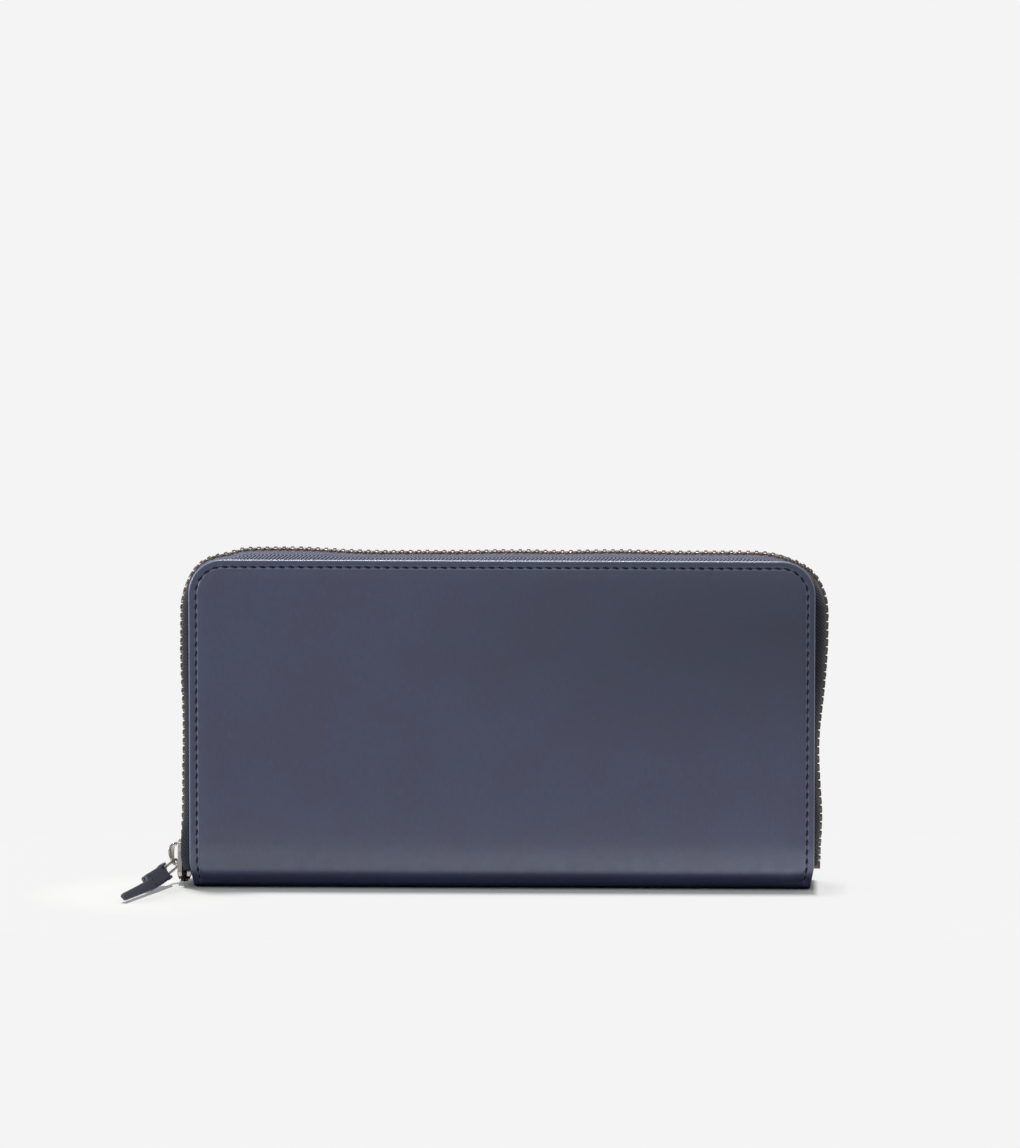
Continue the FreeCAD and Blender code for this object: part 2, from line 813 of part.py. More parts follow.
save("coin_lower_tape", coin_tape_shape(-1))
save("coin_upper_tape", coin_tape_shape(1))

coin_body, coin_face = slider_shape(
    coin_slider_length, coin_narrow_end - coin_part_start - coin_tooth_along,
    coin_narrow_end - coin_row_wide - coin_tooth_along, coin_plate, coin_tooth_thick,
    coin_flange_slot, coin_flange, coin_diamond_half, coin_diamond_length,
    coin_tooth_back, coin_setback, coin_shift)
bail_rise = coin_face + coin_crown_window
bail_outer = prism([
    vec(bail_start, -bail_half, coin_face),
    vec(bail_start, -bail_half, bail_rise + coin_crown_thick / 2),
    vec(bail_start + coin_crown_thick, -bail_half, bail_rise + coin_crown_thick),
    vec(bail_end - coin_crown_thick, -bail_half, bail_rise + coin_crown_thick),
    vec(bail_end, -bail_half, bail_rise + coin_crown_thick / 2),
    vec(bail_end, -bail_half, coin_face),
], vec(0, 2 * bail_half, 0))
bail_inner = Part.makeBox(
    bail_end - bail_start - 2 * coin_crown_thick, 4 * bail_half, coin_crown_window + 1,
    vec(bail_start + coin_crown_thick, -2 * bail_half, coin_face - 1))
coin_slider = coin_body.fuse(bail_outer.cut(bail_inner)).removeSplitter()
coin_origin = vec(coin_narrow_end, coin_plane, coin_zip_height)
coin_slider = place(coin_slider, coin_origin, vec(-1, 0, 0), Z * -1, vec(0, -1, 0))
save("coin_slider", coin_slider)

# ---- coin pull: a flat plate whose eye is round the bail ----
eye_in = coin_face + (coin_crown_window - coin_pull_thick) / 2
eye_bar_start = bail_start + coin_crown_thick + coin_eye_play
plate_end = eye_bar_start + coin_eye_bar
eye_half = bail_half + coin_pull_play
coin_pull = Part.makeBox(
    coin_pull_length, 2 * coin_pull_half_width, coin_pull_thick,
    vec(plate_end - coin_pull_length, -coin_pull_half_width, eye_in))
coin_pull = coin_pull.cut(Part.makeBox(
    coin_eye_length, 2 * eye_half, 3 * coin_pull_thick,
    vec(eye_bar_start - coin_eye_length, -eye_half, eye_in - coin_pull_thick)))
save("coin_pull", place(coin_pull, coin_origin, vec(-1, 0, 0), Z * -1, vec(0, -1, 0)))

# ---- passport pocket on the back lining ----
passport_in = coin_back + banknote_space
passport_wall_in = passport_in + pocket_sheet
passport_pocket = box(
    -passport_half_width, passport_half_width, passport_in, passport_wall_in,
    pocket_floor, passport_pocket_top)
passport_pocket = passport_pocket.fuse([
    box(-passport_half_width, passport_half_width, passport_wall_in, lining_inside,
        pocket_floor, pocket_floor + pocket_wall),
    box(-passport_half_width, -passport_half_width + pocket_wall, passport_wall_in,
        lining_inside, pocket_floor, passport_pocket_top),
    box(passport_half_width - pocket_wall, passport_half_width, passport_wall_in,
        lining_inside, pocket_floor, passport_pocket_top),
]).removeSplitter()
save("passport_pocket", passport_pocket)


# ---- folded gussets at both ends ----
def gusset_fold(y_cover, y_stack, y_divider):
    """One pleat: a tab on the cover, a wall past the pockets, a fold and a tab."""
    g = gusset_sheet
    turn = math.copysign(g, y_divider - y_cover)
    fold_y = (y_stack + y_divider) / 2
    points = [
        (gusset_tab, y_cover), (0, y_cover), (0, y_stack), (gusset_depth, fold_y - turn / 2),
        (g, y_divider - 2 * turn), (0, y_divider), (gusset_tab, y_divider),
        (gusset_tab, y_divider - turn), (2 * g, y_divider - turn),
        (gusset_depth + 3 * g, fold_y), (g, y_stack - turn), (g, y_cover + turn),
        (gusset_tab, y_cover + turn),
    ]
    outline = [vec(-gusset_outer + inward, y, gusset_low) for inward, y in points]
    return prism(outline, vec(0, 0, gusset_high - gusset_low))


front_fold = gusset_fold(-lining_inside, card_face + gusset_sheet, coin_front - gusset_clear)
back_fold = gusset_fold(lining_inside, passport_wall_in, coin_back + gusset_clear)
left_gusset = Part.makeCompound([front_fold, back_fold])
save("left_gusset", left_gusset)
save("right_gusset", flip_x(left_gusset))
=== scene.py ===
import json
import math
import random

import bmesh
import bpy
import numpy as np
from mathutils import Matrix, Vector, noise


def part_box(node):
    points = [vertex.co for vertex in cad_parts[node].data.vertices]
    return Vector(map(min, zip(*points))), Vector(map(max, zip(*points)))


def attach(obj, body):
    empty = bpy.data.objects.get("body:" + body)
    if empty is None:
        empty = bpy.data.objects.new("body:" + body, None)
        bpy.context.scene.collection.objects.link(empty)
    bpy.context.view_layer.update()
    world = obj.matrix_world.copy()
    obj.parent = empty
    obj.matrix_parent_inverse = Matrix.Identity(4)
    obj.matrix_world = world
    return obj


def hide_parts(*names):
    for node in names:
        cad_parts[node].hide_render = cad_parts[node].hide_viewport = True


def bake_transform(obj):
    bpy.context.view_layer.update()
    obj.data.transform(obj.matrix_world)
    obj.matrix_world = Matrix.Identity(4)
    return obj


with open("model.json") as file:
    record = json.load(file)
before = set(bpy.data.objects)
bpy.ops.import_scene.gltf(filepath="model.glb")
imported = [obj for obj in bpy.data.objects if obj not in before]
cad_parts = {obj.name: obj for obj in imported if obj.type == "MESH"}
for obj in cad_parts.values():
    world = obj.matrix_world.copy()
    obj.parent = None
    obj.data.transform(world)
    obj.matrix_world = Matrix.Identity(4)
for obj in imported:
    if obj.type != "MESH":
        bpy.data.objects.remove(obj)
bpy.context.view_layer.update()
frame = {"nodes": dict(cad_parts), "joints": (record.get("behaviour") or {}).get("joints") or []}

# Zip-around passport holder, closed, standing on its folded spine.
# Metres; X along the spine, Y from the front cover to the back cover, Z up.
MM = 0.001
random.seed(7)

# ---- sizes read from the frame ----
front_low, front_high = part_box("front_cover")
HALF_W = front_high.x
HEIGHT = front_high.z
HALF_T = -front_low.y
LEATHER = front_high.y - front_low.y
COVER_LOW = front_low.z
INSIDE = HALF_T - LEATHER
CORNER = 11.0 * MM
FOLD = COVER_LOW - 1.0 * MM
FLAT_FOOT = HALF_T - FOLD
FOLD_ARC = FOLD * math.pi / 2
HALF_LENGTH = FLAT_FOOT + FOLD_ARC + HEIGHT - FOLD
SPINE_TAPER = 1.2 * MM
JOINTS = {j["name"]: j for j in frame["joints"]}


# ---- colours ----
def srgb(r, g, b):
    """A display colour, 0 to 255, as linear values with alpha."""
    out = []
    for c in (r, g, b):
        c /= 255.0
        out.append(c / 12.92 if c <= 0.04045 else ((c + 0.055) / 1.055) ** 2.4)
    return (*out, 1.0)


def tinted(colour, share):
    """A colour darkened to a share of itself."""
    return tuple(share * c for c in colour[:3]) + (1.0,)


# ---- material nodes ----
class Graph:
    """Short calls to build one material's nodes."""

    def __init__(self, name):
        self.mat = bpy.data.materials.new(name)
        self.mat.use_nodes = True
        self.tree = self.mat.node_tree
        self.tree.nodes.clear()
        self.out = self.tree.nodes.new("ShaderNodeOutputMaterial")
        self.shader = self.tree.nodes.new("ShaderNodeBsdfPrincipled")
        self.tree.links.new(self.shader.outputs[0], self.out.inputs["Surface"])

    def put(self, socket, value):
        if isinstance(value, bpy.types.NodeSocket):
            self.tree.links.new(value, socket)
        else:
            socket.default_value = value

    def node(self, kind, _out=0, _set=(), **inputs):
        n = self.tree.nodes.new("ShaderNode" + kind)
        for key, value in dict(_set).items():
            setattr(n, key, value)
        for key, value in inputs.items():
            self.put(n.inputs[key.replace("_", " ")], value)
        return n.outputs[_out]

    def math(self, op, a, b=0.0):
        n = self.tree.nodes.new("ShaderNodeMath")
        n.operation = op
        self.put(n.inputs[0], a)
        self.put(n.inputs[1], b)
        return n.outputs[0]

    def mix(self, factor, a, b):
        n = self.tree.nodes.new("ShaderNodeMix")
        n.data_type = "RGBA"
        self.put(n.inputs["Factor"], factor)
        self.put(n.inputs["A"], a)
        self.put(n.inputs["B"], b)
        return n.outputs["Result"]

    def times(self, a, b):
        return self.math("MULTIPLY", a, b)

    def plus(self, a, b):
        return self.math("ADD", a, b)

    def minus(self, a, b):
        return self.math("SUBTRACT", a, b)

    def length(self, a, b):
        return self.math("SQRT", self.plus(self.times(a, a), self.times(b, b)))

    def range(self, value, from_min, from_max, to_min=0.0, to_max=1.0):
        n = self.tree.nodes.new("ShaderNodeMapRange")
        for key, v in (("Value", value), ("From Min", from_min), ("From Max", from_max),
                       ("To Min", to_min), ("To Max", to_max)):
            self.put(n.inputs[key], v)
        return n.outputs[0]

    def place(self, flat=True, scale=(1, 1, 1)):
        """Metres over the flat sheet, or in the object's own space."""
        n = self.tree.nodes.new("ShaderNodeTexCoord")
        return self.node("Mapping", Vector=n.outputs["UV" if flat else "Object"], Scale=scale)

    def surface(self, what, axis):
        """One component of the surface's Position or Normal."""
        n = self.tree.nodes.new("ShaderNodeNewGeometry")
        return self.node("SeparateXYZ", axis, Vector=n.outputs[what])

    def facing(self, axis, start, end):
        """0 to 1 as the surface turns to face along an axis, either way."""
        return self.range(self.math("ABSOLUTE", self.surface("Normal", axis)), start, end)

    def beyond(self, start, end):
        """0 to 1 between two distances from the middle of the spine's length."""
        return self.range(self.math("ABSOLUTE", self.surface("Position", 0)), start, end)

    def noise(self, at, scale, detail=3.0, rough=0.55):
        return self.node("TexNoise", Vector=at, Scale=scale, Detail=detail, Roughness=rough)

    def bump(self, height, distance, strength=1.0, normal=None):
        n = self.tree.nodes.new("ShaderNodeBump")
        self.put(n.inputs["Height"], height)
        n.inputs["Distance"].default_value = distance
        self.put(n.inputs["Strength"], strength)
        if normal is not None:
            self.put(n.inputs["Normal"], normal)
        return n.outputs[0]

    def finish(self, **values):
        for key, value in values.items():
            self.put(self.shader.inputs[key.replace("_", " ")], value)
        return self.mat


def leather(name, cool, warm, roughness, specular=0.4, painted_shade=None, edge=None):
    """Smooth finished leather: fine pores, long shallow grain, soft clouding. The oval (centre,
    reach, depth) is painted shade on the flat hide; the edge colour is a painted highlight on
    faces turned sideways or up."""
    g = Graph(name)
    at = g.place()
    cloud = g.noise(at, 42.0, 2.0, 0.5)
    blotch = g.noise(at, 240.0, 3.0, 0.6)
    fibre = g.noise(g.place(True, (1.0, 0.22, 1.0)), 1500.0, 2.0, 0.6)
    pores = g.noise(at, 2600.0, 2.0, 0.6)
    dark = tinted(warm, 0.72)
    pale = tuple(min(1.0, 1.7 * c + 0.004) for c in cool[:3]) + (1.0,)
    tone = g.mix(g.range(cloud, 0.38, 0.62), cool, warm)
    tone = g.mix(g.range(blotch, 0.42, 0.72, 0.0, 0.3), tone, dark)
    tone = g.mix(g.range(fibre, 0.5, 0.8, 0.0, 0.25), tone, pale)
    tone = g.mix(g.range(pores, 0.5, 0.7, 0.0, 0.3), tone, dark)
    # painted shade: a darker oval on the flat hide where the cover looks shaded
    if painted_shade:
        (px, ps), (rx, rs), depth = painted_shade
        shade_spot = g.node("VectorMath", 1, {"operation": "DISTANCE"},
                      Vector=g.place(True, (1 / rx, 1 / rs, 1.0)))
        shade_spot.node.inputs[1].default_value = (px / rx, ps / rs, 0.0)
        tone = g.mix(g.range(shade_spot, 0.0, 1.0, depth, 0.0), tone, tinted(cool, 0.45))
    # painted highlight: a lighter colour where the surface faces sideways or up, as if lit there
    if edge:
        painted_highlight_up = g.range(g.surface("Normal", 2), 0.3, 0.7)
        tone = g.mix(g.math("MAXIMUM", g.facing(0, 0.4, 0.8), painted_highlight_up), tone, edge)
    burnished = g.minus(1.0, g.facing(1, 0.35, 0.8))
    open_grain = g.minus(1.0, g.times(burnished, 0.9))
    bump = g.bump(pores, 0.00004, g.times(open_grain, 0.5))
    bump = g.bump(fibre, 0.00002, g.times(open_grain, 0.3), bump)
    bump = g.bump(blotch, 0.0003, g.times(open_grain, 0.1), bump)
    rough = g.range(blotch, 0.35, 0.65, roughness - 0.04, roughness + 0.05)
    rough = g.plus(rough, g.times(burnished, 0.04))
    return g.finish(Base_Color=tone, Roughness=rough, Normal=bump, Specular_IOR_Level=specular)


def weave(name, base, light, pitch, herringbone=False, relief=0.00012):
    """Woven cloth: warp and weft, or a herringbone twill along the tape, with painted shade at the
    ends.
    """
    g = Graph(name)
    at = g.place()
    x, y = (g.node("SeparateXYZ", i, Vector=at) for i in range(2))
    turns = 2 * math.pi / pitch
    fuzz = g.noise(at, 1.4 / pitch, 3.0, 0.7)
    if herringbone:
        slope = g.plus(x, g.math("PINGPONG", y, 2.6 * pitch))
        twill = g.math("SINE", g.times(slope, turns))
        cross = g.math("SINE", g.times(y, 2.2 * turns))
        lift = g.range(g.plus(g.times(twill, 0.88), g.times(cross, 0.12)), -1.0, 1.0)
        share = g.range(g.plus(lift, g.times(fuzz, 0.5)), 0.4, 1.15)
        # painted shade: towards the holder's ends the tape darkens and its light threads fade, as
        # on sides turned from the light
        side = g.beyond(HALF_W - 6 * MM, HALF_W - 1 * MM)
        share = g.times(share, g.range(side, 0.0, 1.0, 1.0, 0.06))
        base = g.mix(side, base, tinted(base, 0.45))
    else:
        warp = g.math("SINE", g.times(x, turns))
        weft = g.math("SINE", g.times(y, turns))
        lift = g.range(g.times(warp, weft), -1.0, 1.0)
        share = g.times(lift, fuzz)
    worn = g.range(g.noise(at, 120.0, 2.0, 0.5), 0.4, 0.7, 0.0, 0.4)
    tone = g.mix(g.times(share, worn), g.mix(share, base, light), light)
    bump = g.bump(g.plus(lift, g.times(fuzz, 0.4)), relief, 0.9)
    return g.finish(Base_Color=tone, Roughness=g.range(fuzz, 0.3, 0.7, 0.77, 0.93), Normal=bump,
                    Specular_IOR_Level=0.25, Sheen_Weight=0.15, Sheen_Roughness=0.5)


def metal(name, base, dark, roughness, dirt=0.35):
    """Plated metal with fine tumbling scratches and tarnish in the hollows."""
    g = Graph(name)
    stain = g.noise(g.place(False), 380.0, 3.0, 0.6)
    marks = g.noise(g.place(False, (1.0, 1.0, 0.15)), 5200.0, 2.0, 0.7)
    tone = g.mix(g.range(stain, 0.45, 0.75, 0.0, dirt), base, dark)
    rough = g.range(g.plus(stain, marks), 0.7, 1.3, roughness - 0.08, roughness + 0.12)
    return g.finish(Base_Color=tone, Metallic=1.0, Roughness=rough,
                    Normal=g.bump(marks, 0.00002, 0.25))


def thread_material(name, base, light):
    """Twisted waxed sewing thread."""
    g = Graph(name)
    at = g.place(False)
    ply = g.node("TexWave", 0, {"bands_direction": "DIAGONAL"}, Vector=at, Scale=900.0,
                 Distortion=2.0, Detail=1.0)
    fuzz = g.noise(at, 3000.0, 2.0, 0.6)
    return g.finish(Base_Color=g.mix(g.times(ply, fuzz), base, light), Specular_IOR_Level=0.35,
                    Roughness=g.range(fuzz, 0.3, 0.7, 0.55, 0.8), Normal=g.bump(ply, 0.00008, 0.6))


def board_material():
    """Pressed fibre board: grey-brown flecks."""
    g = Graph("fibre_board")
    fleck = g.noise(g.place(False), 900.0, 4.0, 0.7)
    tone = g.mix(g.range(fleck, 0.35, 0.65), srgb(120, 108, 92), srgb(164, 152, 134))
    return g.finish(Base_Color=tone, Roughness=g.range(fleck, 0.3, 0.7, 0.8, 0.95),
                    Normal=g.bump(fleck, 0.0001, 0.4))


HIDE = leather("navy_hide", srgb(67, 74, 103), srgb(69, 71, 99), 0.33, specular=1.0,
               # painted shade: a darker oval on the front cover's upper right
               painted_shade=((90 * MM, 22 * MM - HALF_LENGTH), (130 * MM, 46 * MM), 0.75),
               # painted highlight: the lighter colour on the hide's sideways and upward faces
               edge=srgb(112, 126, 146))
PULL_LEATHER = leather("pull_leather", srgb(68, 69, 80), srgb(70, 69, 79), 0.42)
POCKET_LEATHER = leather("pocket_leather", srgb(48, 56, 76), srgb(52, 54, 74), 0.5)
LINING = weave("navy_lining", srgb(30, 34, 50), srgb(58, 64, 88), 0.55 * MM)
TAPE = weave("herringbone_tape", srgb(30, 32, 46), srgb(128, 130, 152), 1.25 * MM,
             herringbone=True, relief=0.0002)
TEETH_METAL = metal("dark_teeth_metal", srgb(132, 118, 110), srgb(46, 38, 35), 0.4, dirt=0.7)
NICKEL = metal("pale_nickel", srgb(214, 209, 202), srgb(150, 144, 136), 0.24)
THREAD = thread_material("navy_thread", srgb(14, 15, 30), srgb(46, 50, 72))
BOARD = board_material()


# ---- mesh helpers ----
def smooth(t):
    """0 to 1 with gentle ends, held outside them."""
    t = min(1.0, max(0.0, t))
    return t * t * (3 - 2 * t)


def make_mesh(name, points, faces, material, flat=None, rounded=True):
    """A mesh object from points in metres; flat gives each point's place on the flat sheet."""
    mesh = bpy.data.meshes.new(name)
    mesh.from_pydata([tuple(p) for p in points], [], faces)
    mesh.materials.append(material)
    mesh.polygons.foreach_set("use_smooth", [rounded] * len(mesh.polygons))
    if flat is not None:
        layer = mesh.uv_layers.new(name="flat")
        index = np.zeros(len(mesh.loops), np.int32)
        mesh.loops.foreach_get("vertex_index", index)
        layer.data.foreach_set("uv", np.asarray(flat, np.float32)[index].ravel())
    mesh.validate()
    obj = bpy.data.objects.new(name, mesh)
    bpy.context.scene.collection.objects.link(obj)
    return obj


def finish_normals(obj):
    """Turns every face outward."""
    mesh = bmesh.new()
    mesh.from_mesh(obj.data)
    bmesh.ops.recalc_face_normals(mesh, faces=mesh.faces)
    mesh.to_mesh(obj.data)
    mesh.free()
    return obj


def modifier(obj, kind, **values):
    m = obj.modifiers.new(kind.lower(), kind)
    for key, value in values.items():
        setattr(m, key, value)
    return m


def spread(low, high, step):
    """Even stations from low to high, about a step apart."""
    count = max(1, round((high - low) / step))
    return [low + (high - low) * i / count for i in range(count + 1)]


def between(stations, parts):
    """Each gap between stations divided into equal parts."""
    out = []
    for a, b in zip(stations, stations[1:]):
        out += [a + (b - a) * i / parts for i in range(parts)]
    return out + [stations[-1]]


def ring_faces(rings, size):
    """Faces joining one ring of points to the next."""
    return [(i * size + k, i * size + (k + 1) % size, (i + 1) * size + (k + 1) % size,
             (i + 1) * size + k) for i in range(rings - 1) for k in range(size)]


def bar_faces(rings, size):
    """The same, with the first and the last ring filled."""
    last = (rings - 1) * size
    caps = [tuple(reversed(range(size))), tuple(range(last, last + size))]
    return ring_faces(rings, size) + caps


def slope(line, i):
    """Unit direction of a flat line of points at one of them."""
    a, b = line[max(i - 1, 0)], line[min(i + 1, len(line) - 1)]
    size = math.dist(a, b)
    return (b[0] - a[0]) / size, (b[1] - a[1]) / size


def prism(near, far):
    """A bmesh solid between two matching outlines."""
    mesh = bmesh.new()
    rings = [[mesh.verts.new(p) for p in ring] for ring in (near, far)]
    mesh.faces.new(rings[0])
    mesh.faces.new(list(reversed(rings[1])))
    for i in range(len(near)):
        j = (i + 1) % len(near)
        mesh.faces.new((rings[0][i], rings[1][i], rings[1][j], rings[0][j]))
    bmesh.ops.recalc_face_normals(mesh, faces=mesh.faces)
    return mesh


def sheet_plan(half_x, low, high, radius, xs, ss, fine, arc, insets):
    """Rings of points inside a round-cornered outline, then a plain grid.
    Gives each point's (x, s, inset) and the faces between them."""
    ax = half_x - radius
    s_low, s_high = low + radius, high - radius
    fine_x, fine_s = between(xs, fine), between(ss, fine)

    def corner(cx, cs, r, start):
        turns = [math.radians(start + 90 * i / arc) for i in range(1, arc)]
        return [(cx + r * math.cos(a), cs + r * math.sin(a)) for a in turns]

    points = []
    for d in insets:
        r = radius - d
        ring = [(half_x - d, s) for s in fine_s]
        ring += corner(ax, s_high, r, 0)
        ring += [(x, high - d) for x in reversed(fine_x)]
        ring += corner(-ax, s_high, r, 90)
        ring += [(d - half_x, s) for s in reversed(fine_s)]
        ring += corner(-ax, s_low, r, 180)
        ring += [(x, low + d) for x in fine_x]
        ring += corner(ax, s_low, r, 270)
        points += [(x, s, d) for x, s in ring]
    count = len(points) // len(insets)
    faces = ring_faces(len(insets), count)
    grid = len(points)
    nx, ns = len(xs), len(ss)
    for s in ss:
        points += [(x, s, min(half_x - abs(x), s - low, high - s)) for x in xs]

    def cell(i, j):
        return grid + j * nx + i

    for j in range(ns - 1):
        for i in range(nx - 1):
            faces.append((cell(i, j), cell(i + 1, j), cell(i + 1, j + 1), cell(i, j + 1)))

    def side(cells):
        out = []
        for n, c in enumerate(cells):
            out += [c] + [None] * (fine - 1 if n < len(cells) - 1 else 0)
        return out

    rest = arc - 1
    anchor = side([cell(nx - 1, j) for j in range(ns)])
    anchor += [cell(nx - 1, ns - 1)] * rest
    anchor += side([cell(i, ns - 1) for i in reversed(range(nx))])
    anchor += [cell(0, ns - 1)] * rest
    anchor += side([cell(0, j) for j in reversed(range(ns))])
    anchor += [cell(0, 0)] * rest
    anchor += side([cell(i, 0) for i in range(nx)])
    anchor += [cell(nx - 1, 0)] * rest
    ring = (len(insets) - 1) * count
    start = 0
    while start < count:
        stop = start + 1
        while anchor[stop % count] is None:
            stop += 1
        face = [ring + i % count for i in range(start, stop + 1)]
        face.append(anchor[stop % count])
        if anchor[start] != anchor[stop % count]:
            face.append(anchor[start])
        faces.append(tuple(face))
        start = stop
    return points, faces, count


EDGE_ROUND = [0.0, 0.10, 0.28, 0.55, 0.85, 1.0]


def thick_sheet(name, plan, thick, shape, material, relief=None, edge=None, under=None):
    """A sheet with rounded edges. shape(x, s, n) bends the flat sheet into place;
    relief(x, s, inset) lifts its outer face."""
    points, faces, count = plan
    edge = edge or thick / 2
    outer, inner = [], []
    for x, s, d in points:
        drop = 0.0
        if d < edge:
            drop = thick / 2 * (1 - math.sqrt(max(0.0, 1 - (1 - d / edge) ** 2)))
        lift = relief(x, s, d) if relief else 0.0
        outer.append(shape(x, s, lift - drop))
        back = under(x, s, d) if under else 0.0
        inner.append(shape(x, s, back - thick + drop))
    total = len(points)
    verts = outer + inner[count:]

    def inner_index(i):
        return i if i < count else total + i - count

    all_faces = [tuple(reversed(f)) for f in faces]
    all_faces += [tuple(inner_index(i) for i in f) for f in faces]
    flat = [(x, s) for x, s, _ in points]
    flat += flat[count:]
    obj = make_mesh(name, verts, all_faces, material, flat)
    return finish_normals(obj)


def tube(points, radius, sides, upward=Vector((0.0, 0.0, 1.0)), closed=False):
    """Points and faces of a round bar through the points given."""
    verts, faces = [], []
    count = len(points)
    for i, p in enumerate(points):
        after = points[(i + 1) % count] if closed or i + 1 < count else p
        before = points[i - 1] if closed or i > 0 else p
        along = (after - before).normalized()
        side = along.cross(upward)
        if side.length < 1e-6:
            side = along.orthogonal()
        side.normalize()
        up = side.cross(along)
        r = radius[i] if isinstance(radius, (list, tuple)) else radius
        for k in range(sides):
            a = 2 * math.pi * k / sides
            verts.append(p + side * (r * math.cos(a)) + up * (r * math.sin(a)))
    for i in range(count if closed else count - 1):
        j = (i + 1) % count
        for k in range(sides):
            m = (k + 1) % sides
            faces.append((i * sides + k, i * sides + m, j * sides + m, j * sides + k))
    if not closed:
        faces.append(tuple(range(sides)))
        faces.append(tuple((count - 1) * sides + k for k in reversed(range(sides))))
    return verts, faces


def join_parts(parts):
    """Several (points, faces) in one list of each."""
    verts, faces = [], []
    for v, f in parts:
        start = len(verts)
        verts += list(v)
        faces += [tuple(i + start for i in face) for face in f]
    return verts, faces


def keep_shape(node, material, bevel=0.0):
    """A CAD solid whose shape is right: a finished material and softened edges."""
    obj = frame["nodes"][node]
    obj.data.materials.clear()
    obj.data.materials.append(material)
    if bevel:
        modifier(obj, "WELD", merge_threshold=0.00001)
        modifier(obj, "BEVEL", width=bevel, segments=2, limit_method="ANGLE",
                 angle_limit=math.radians(35))
    return obj


# ---- flat sizes of the sheets ----
def cut_area(half_x, low, high, radius):
    return 2 * half_x * (high - low) - (4 - math.pi) * radius * radius


def declare_sheet(half_x, low, high, radius):
    cut_area(half_x, low, high, radius)


# ---- the folded skin: one hide over the front, the spine and the back ----
def folded(reach, bend, base):
    """Bends a flat sheet (x, s) to the U of the covers; s is 0 under the spine."""
    foot = reach - bend
    arc = bend * math.pi / 2

    def shape(x, s, n):
        sign = 1.0 if s >= 0 else -1.0
        a = abs(s)
        if a < foot:
            y, z, ny, nz = a, 0.0, 0.0, -1.0
        elif a < foot + arc:
            turn = (a - foot) / bend
            y, z = foot + bend * math.sin(turn), bend * (1 - math.cos(turn))
            ny, nz = math.sin(turn), -math.cos(turn)
        else:
            y, z, ny, nz = reach, bend + a - foot - arc, 1.0, 0.0
        z += base
        low = max(0.0, 1 - z / COVER_LOW)
        x *= 1 - SPINE_TAPER / HALF_W * low
        return Vector((x, sign * (y + ny * n), z + nz * n))
    return shape


STITCH_INSET = 2.4 * MM
STITCH_PITCH = 3.04 * MM
HIDE_EDGE = 0.6 * MM
GROOVE_WIDE = 0.34 * MM
GROOVE_DEEP = 0.42 * MM
SWELL_WIDE = 5 * MM
SWELL_HIGH = 0.56 * MM
TUCK = 0.9 * MM
TUCK_HIGH = 13 * MM
SEAM_LOW = 2.2 * MM
SEAM_FOOT = FLAT_FOOT + FOLD * math.acos(1 - SEAM_LOW / FOLD)


def seam_share(s):
    """How much of the seam there is at a place on the hide: none round the spine."""
    return smooth((abs(s) - SEAM_FOOT + 2 * MM) / (2 * MM))


def tuck(s):
    """How far the hide draws in above the fold, metres."""
    rise = abs(s) - FLAT_FOOT - FOLD_ARC * 0.6
    return -TUCK * smooth(1 - rise / TUCK_HIGH) * smooth(rise / (3 * MM) + 1)


def hide_relief(x, s, d):
    """Seam groove, the soft swell inside it and the hand-made unevenness, metres."""
    groove = GROOVE_DEEP * math.exp(-((d - STITCH_INSET) / GROOVE_WIDE) ** 2)
    swell = SWELL_HIGH * math.sqrt(smooth((d - STITCH_INSET + 0.2 * MM) / SWELL_WIDE))
    rim = math.sin(math.pi * min(1.0, d / STITCH_INSET)) * 0.06
    uneven = noise.noise(Vector((x, s, 3.0)) * 22.0) * 0.10 + noise.noise(
        Vector((x, s, 9.0)) * 70.0) * 0.035
    inside = min(1.0, d / (6 * MM))
    foot = smooth((FLAT_FOOT + 2 * MM - abs(s)) / (2 * MM))
    uneven -= 0.16 * foot
    return tuck(s) + (swell - groove) * seam_share(s) + (rim + uneven * inside) * MM


BACK_CORNER_PULL = 1.4 * MM
BACK_CORNER_REACH = 18 * MM


def hide_shape(x, s, n):
    """The hide bent over the spine, its back cover's top corners drawn in by the zip."""
    over = max(0.0, abs(x) - HALF_W + BACK_CORNER_REACH) / BACK_CORNER_REACH
    up = max(0.0, s - HALF_LENGTH + BACK_CORNER_REACH) / BACK_CORNER_REACH
    pull = BACK_CORNER_PULL * smooth(1.3 * over * up)
    return folded(HALF_T, FOLD, 0.0)(x - math.copysign(pull, x), s - pull, n)


def build_hide():
    ring_insets = [i * HIDE_EDGE for i in EDGE_ROUND]
    ring_insets += [i * MM for i in (
        0.95, 1.35, 1.7, 1.95, 2.12, 2.25, 2.35, 2.45, 2.58, 2.75, 3.0, 3.4, 4.0, 5.0,
        6.5, 8.2, 9.6)]
    xs = spread(-HALF_W + CORNER, HALF_W - CORNER, STITCH_PITCH)
    bend_top = FLAT_FOOT + FOLD_ARC + 2 * MM
    wall = spread(bend_top, HALF_LENGTH - CORNER, STITCH_PITCH)
    low = spread(-bend_top, bend_top, 0.9 * MM)
    ss = [-s for s in reversed(wall)] + low[1:-1] + wall
    plan = sheet_plan(HALF_W, -HALF_LENGTH, HALF_LENGTH, CORNER, xs, ss, 4, 16, ring_insets)
    hide = thick_sheet("outer_hide", plan, LEATHER, hide_shape, HIDE, hide_relief, HIDE_EDGE)
    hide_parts("front_cover", "back_cover", "spine")
    declare_sheet(HALF_W, -HALF_LENGTH, HALF_LENGTH, CORNER)
    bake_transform(hide)
    return hide


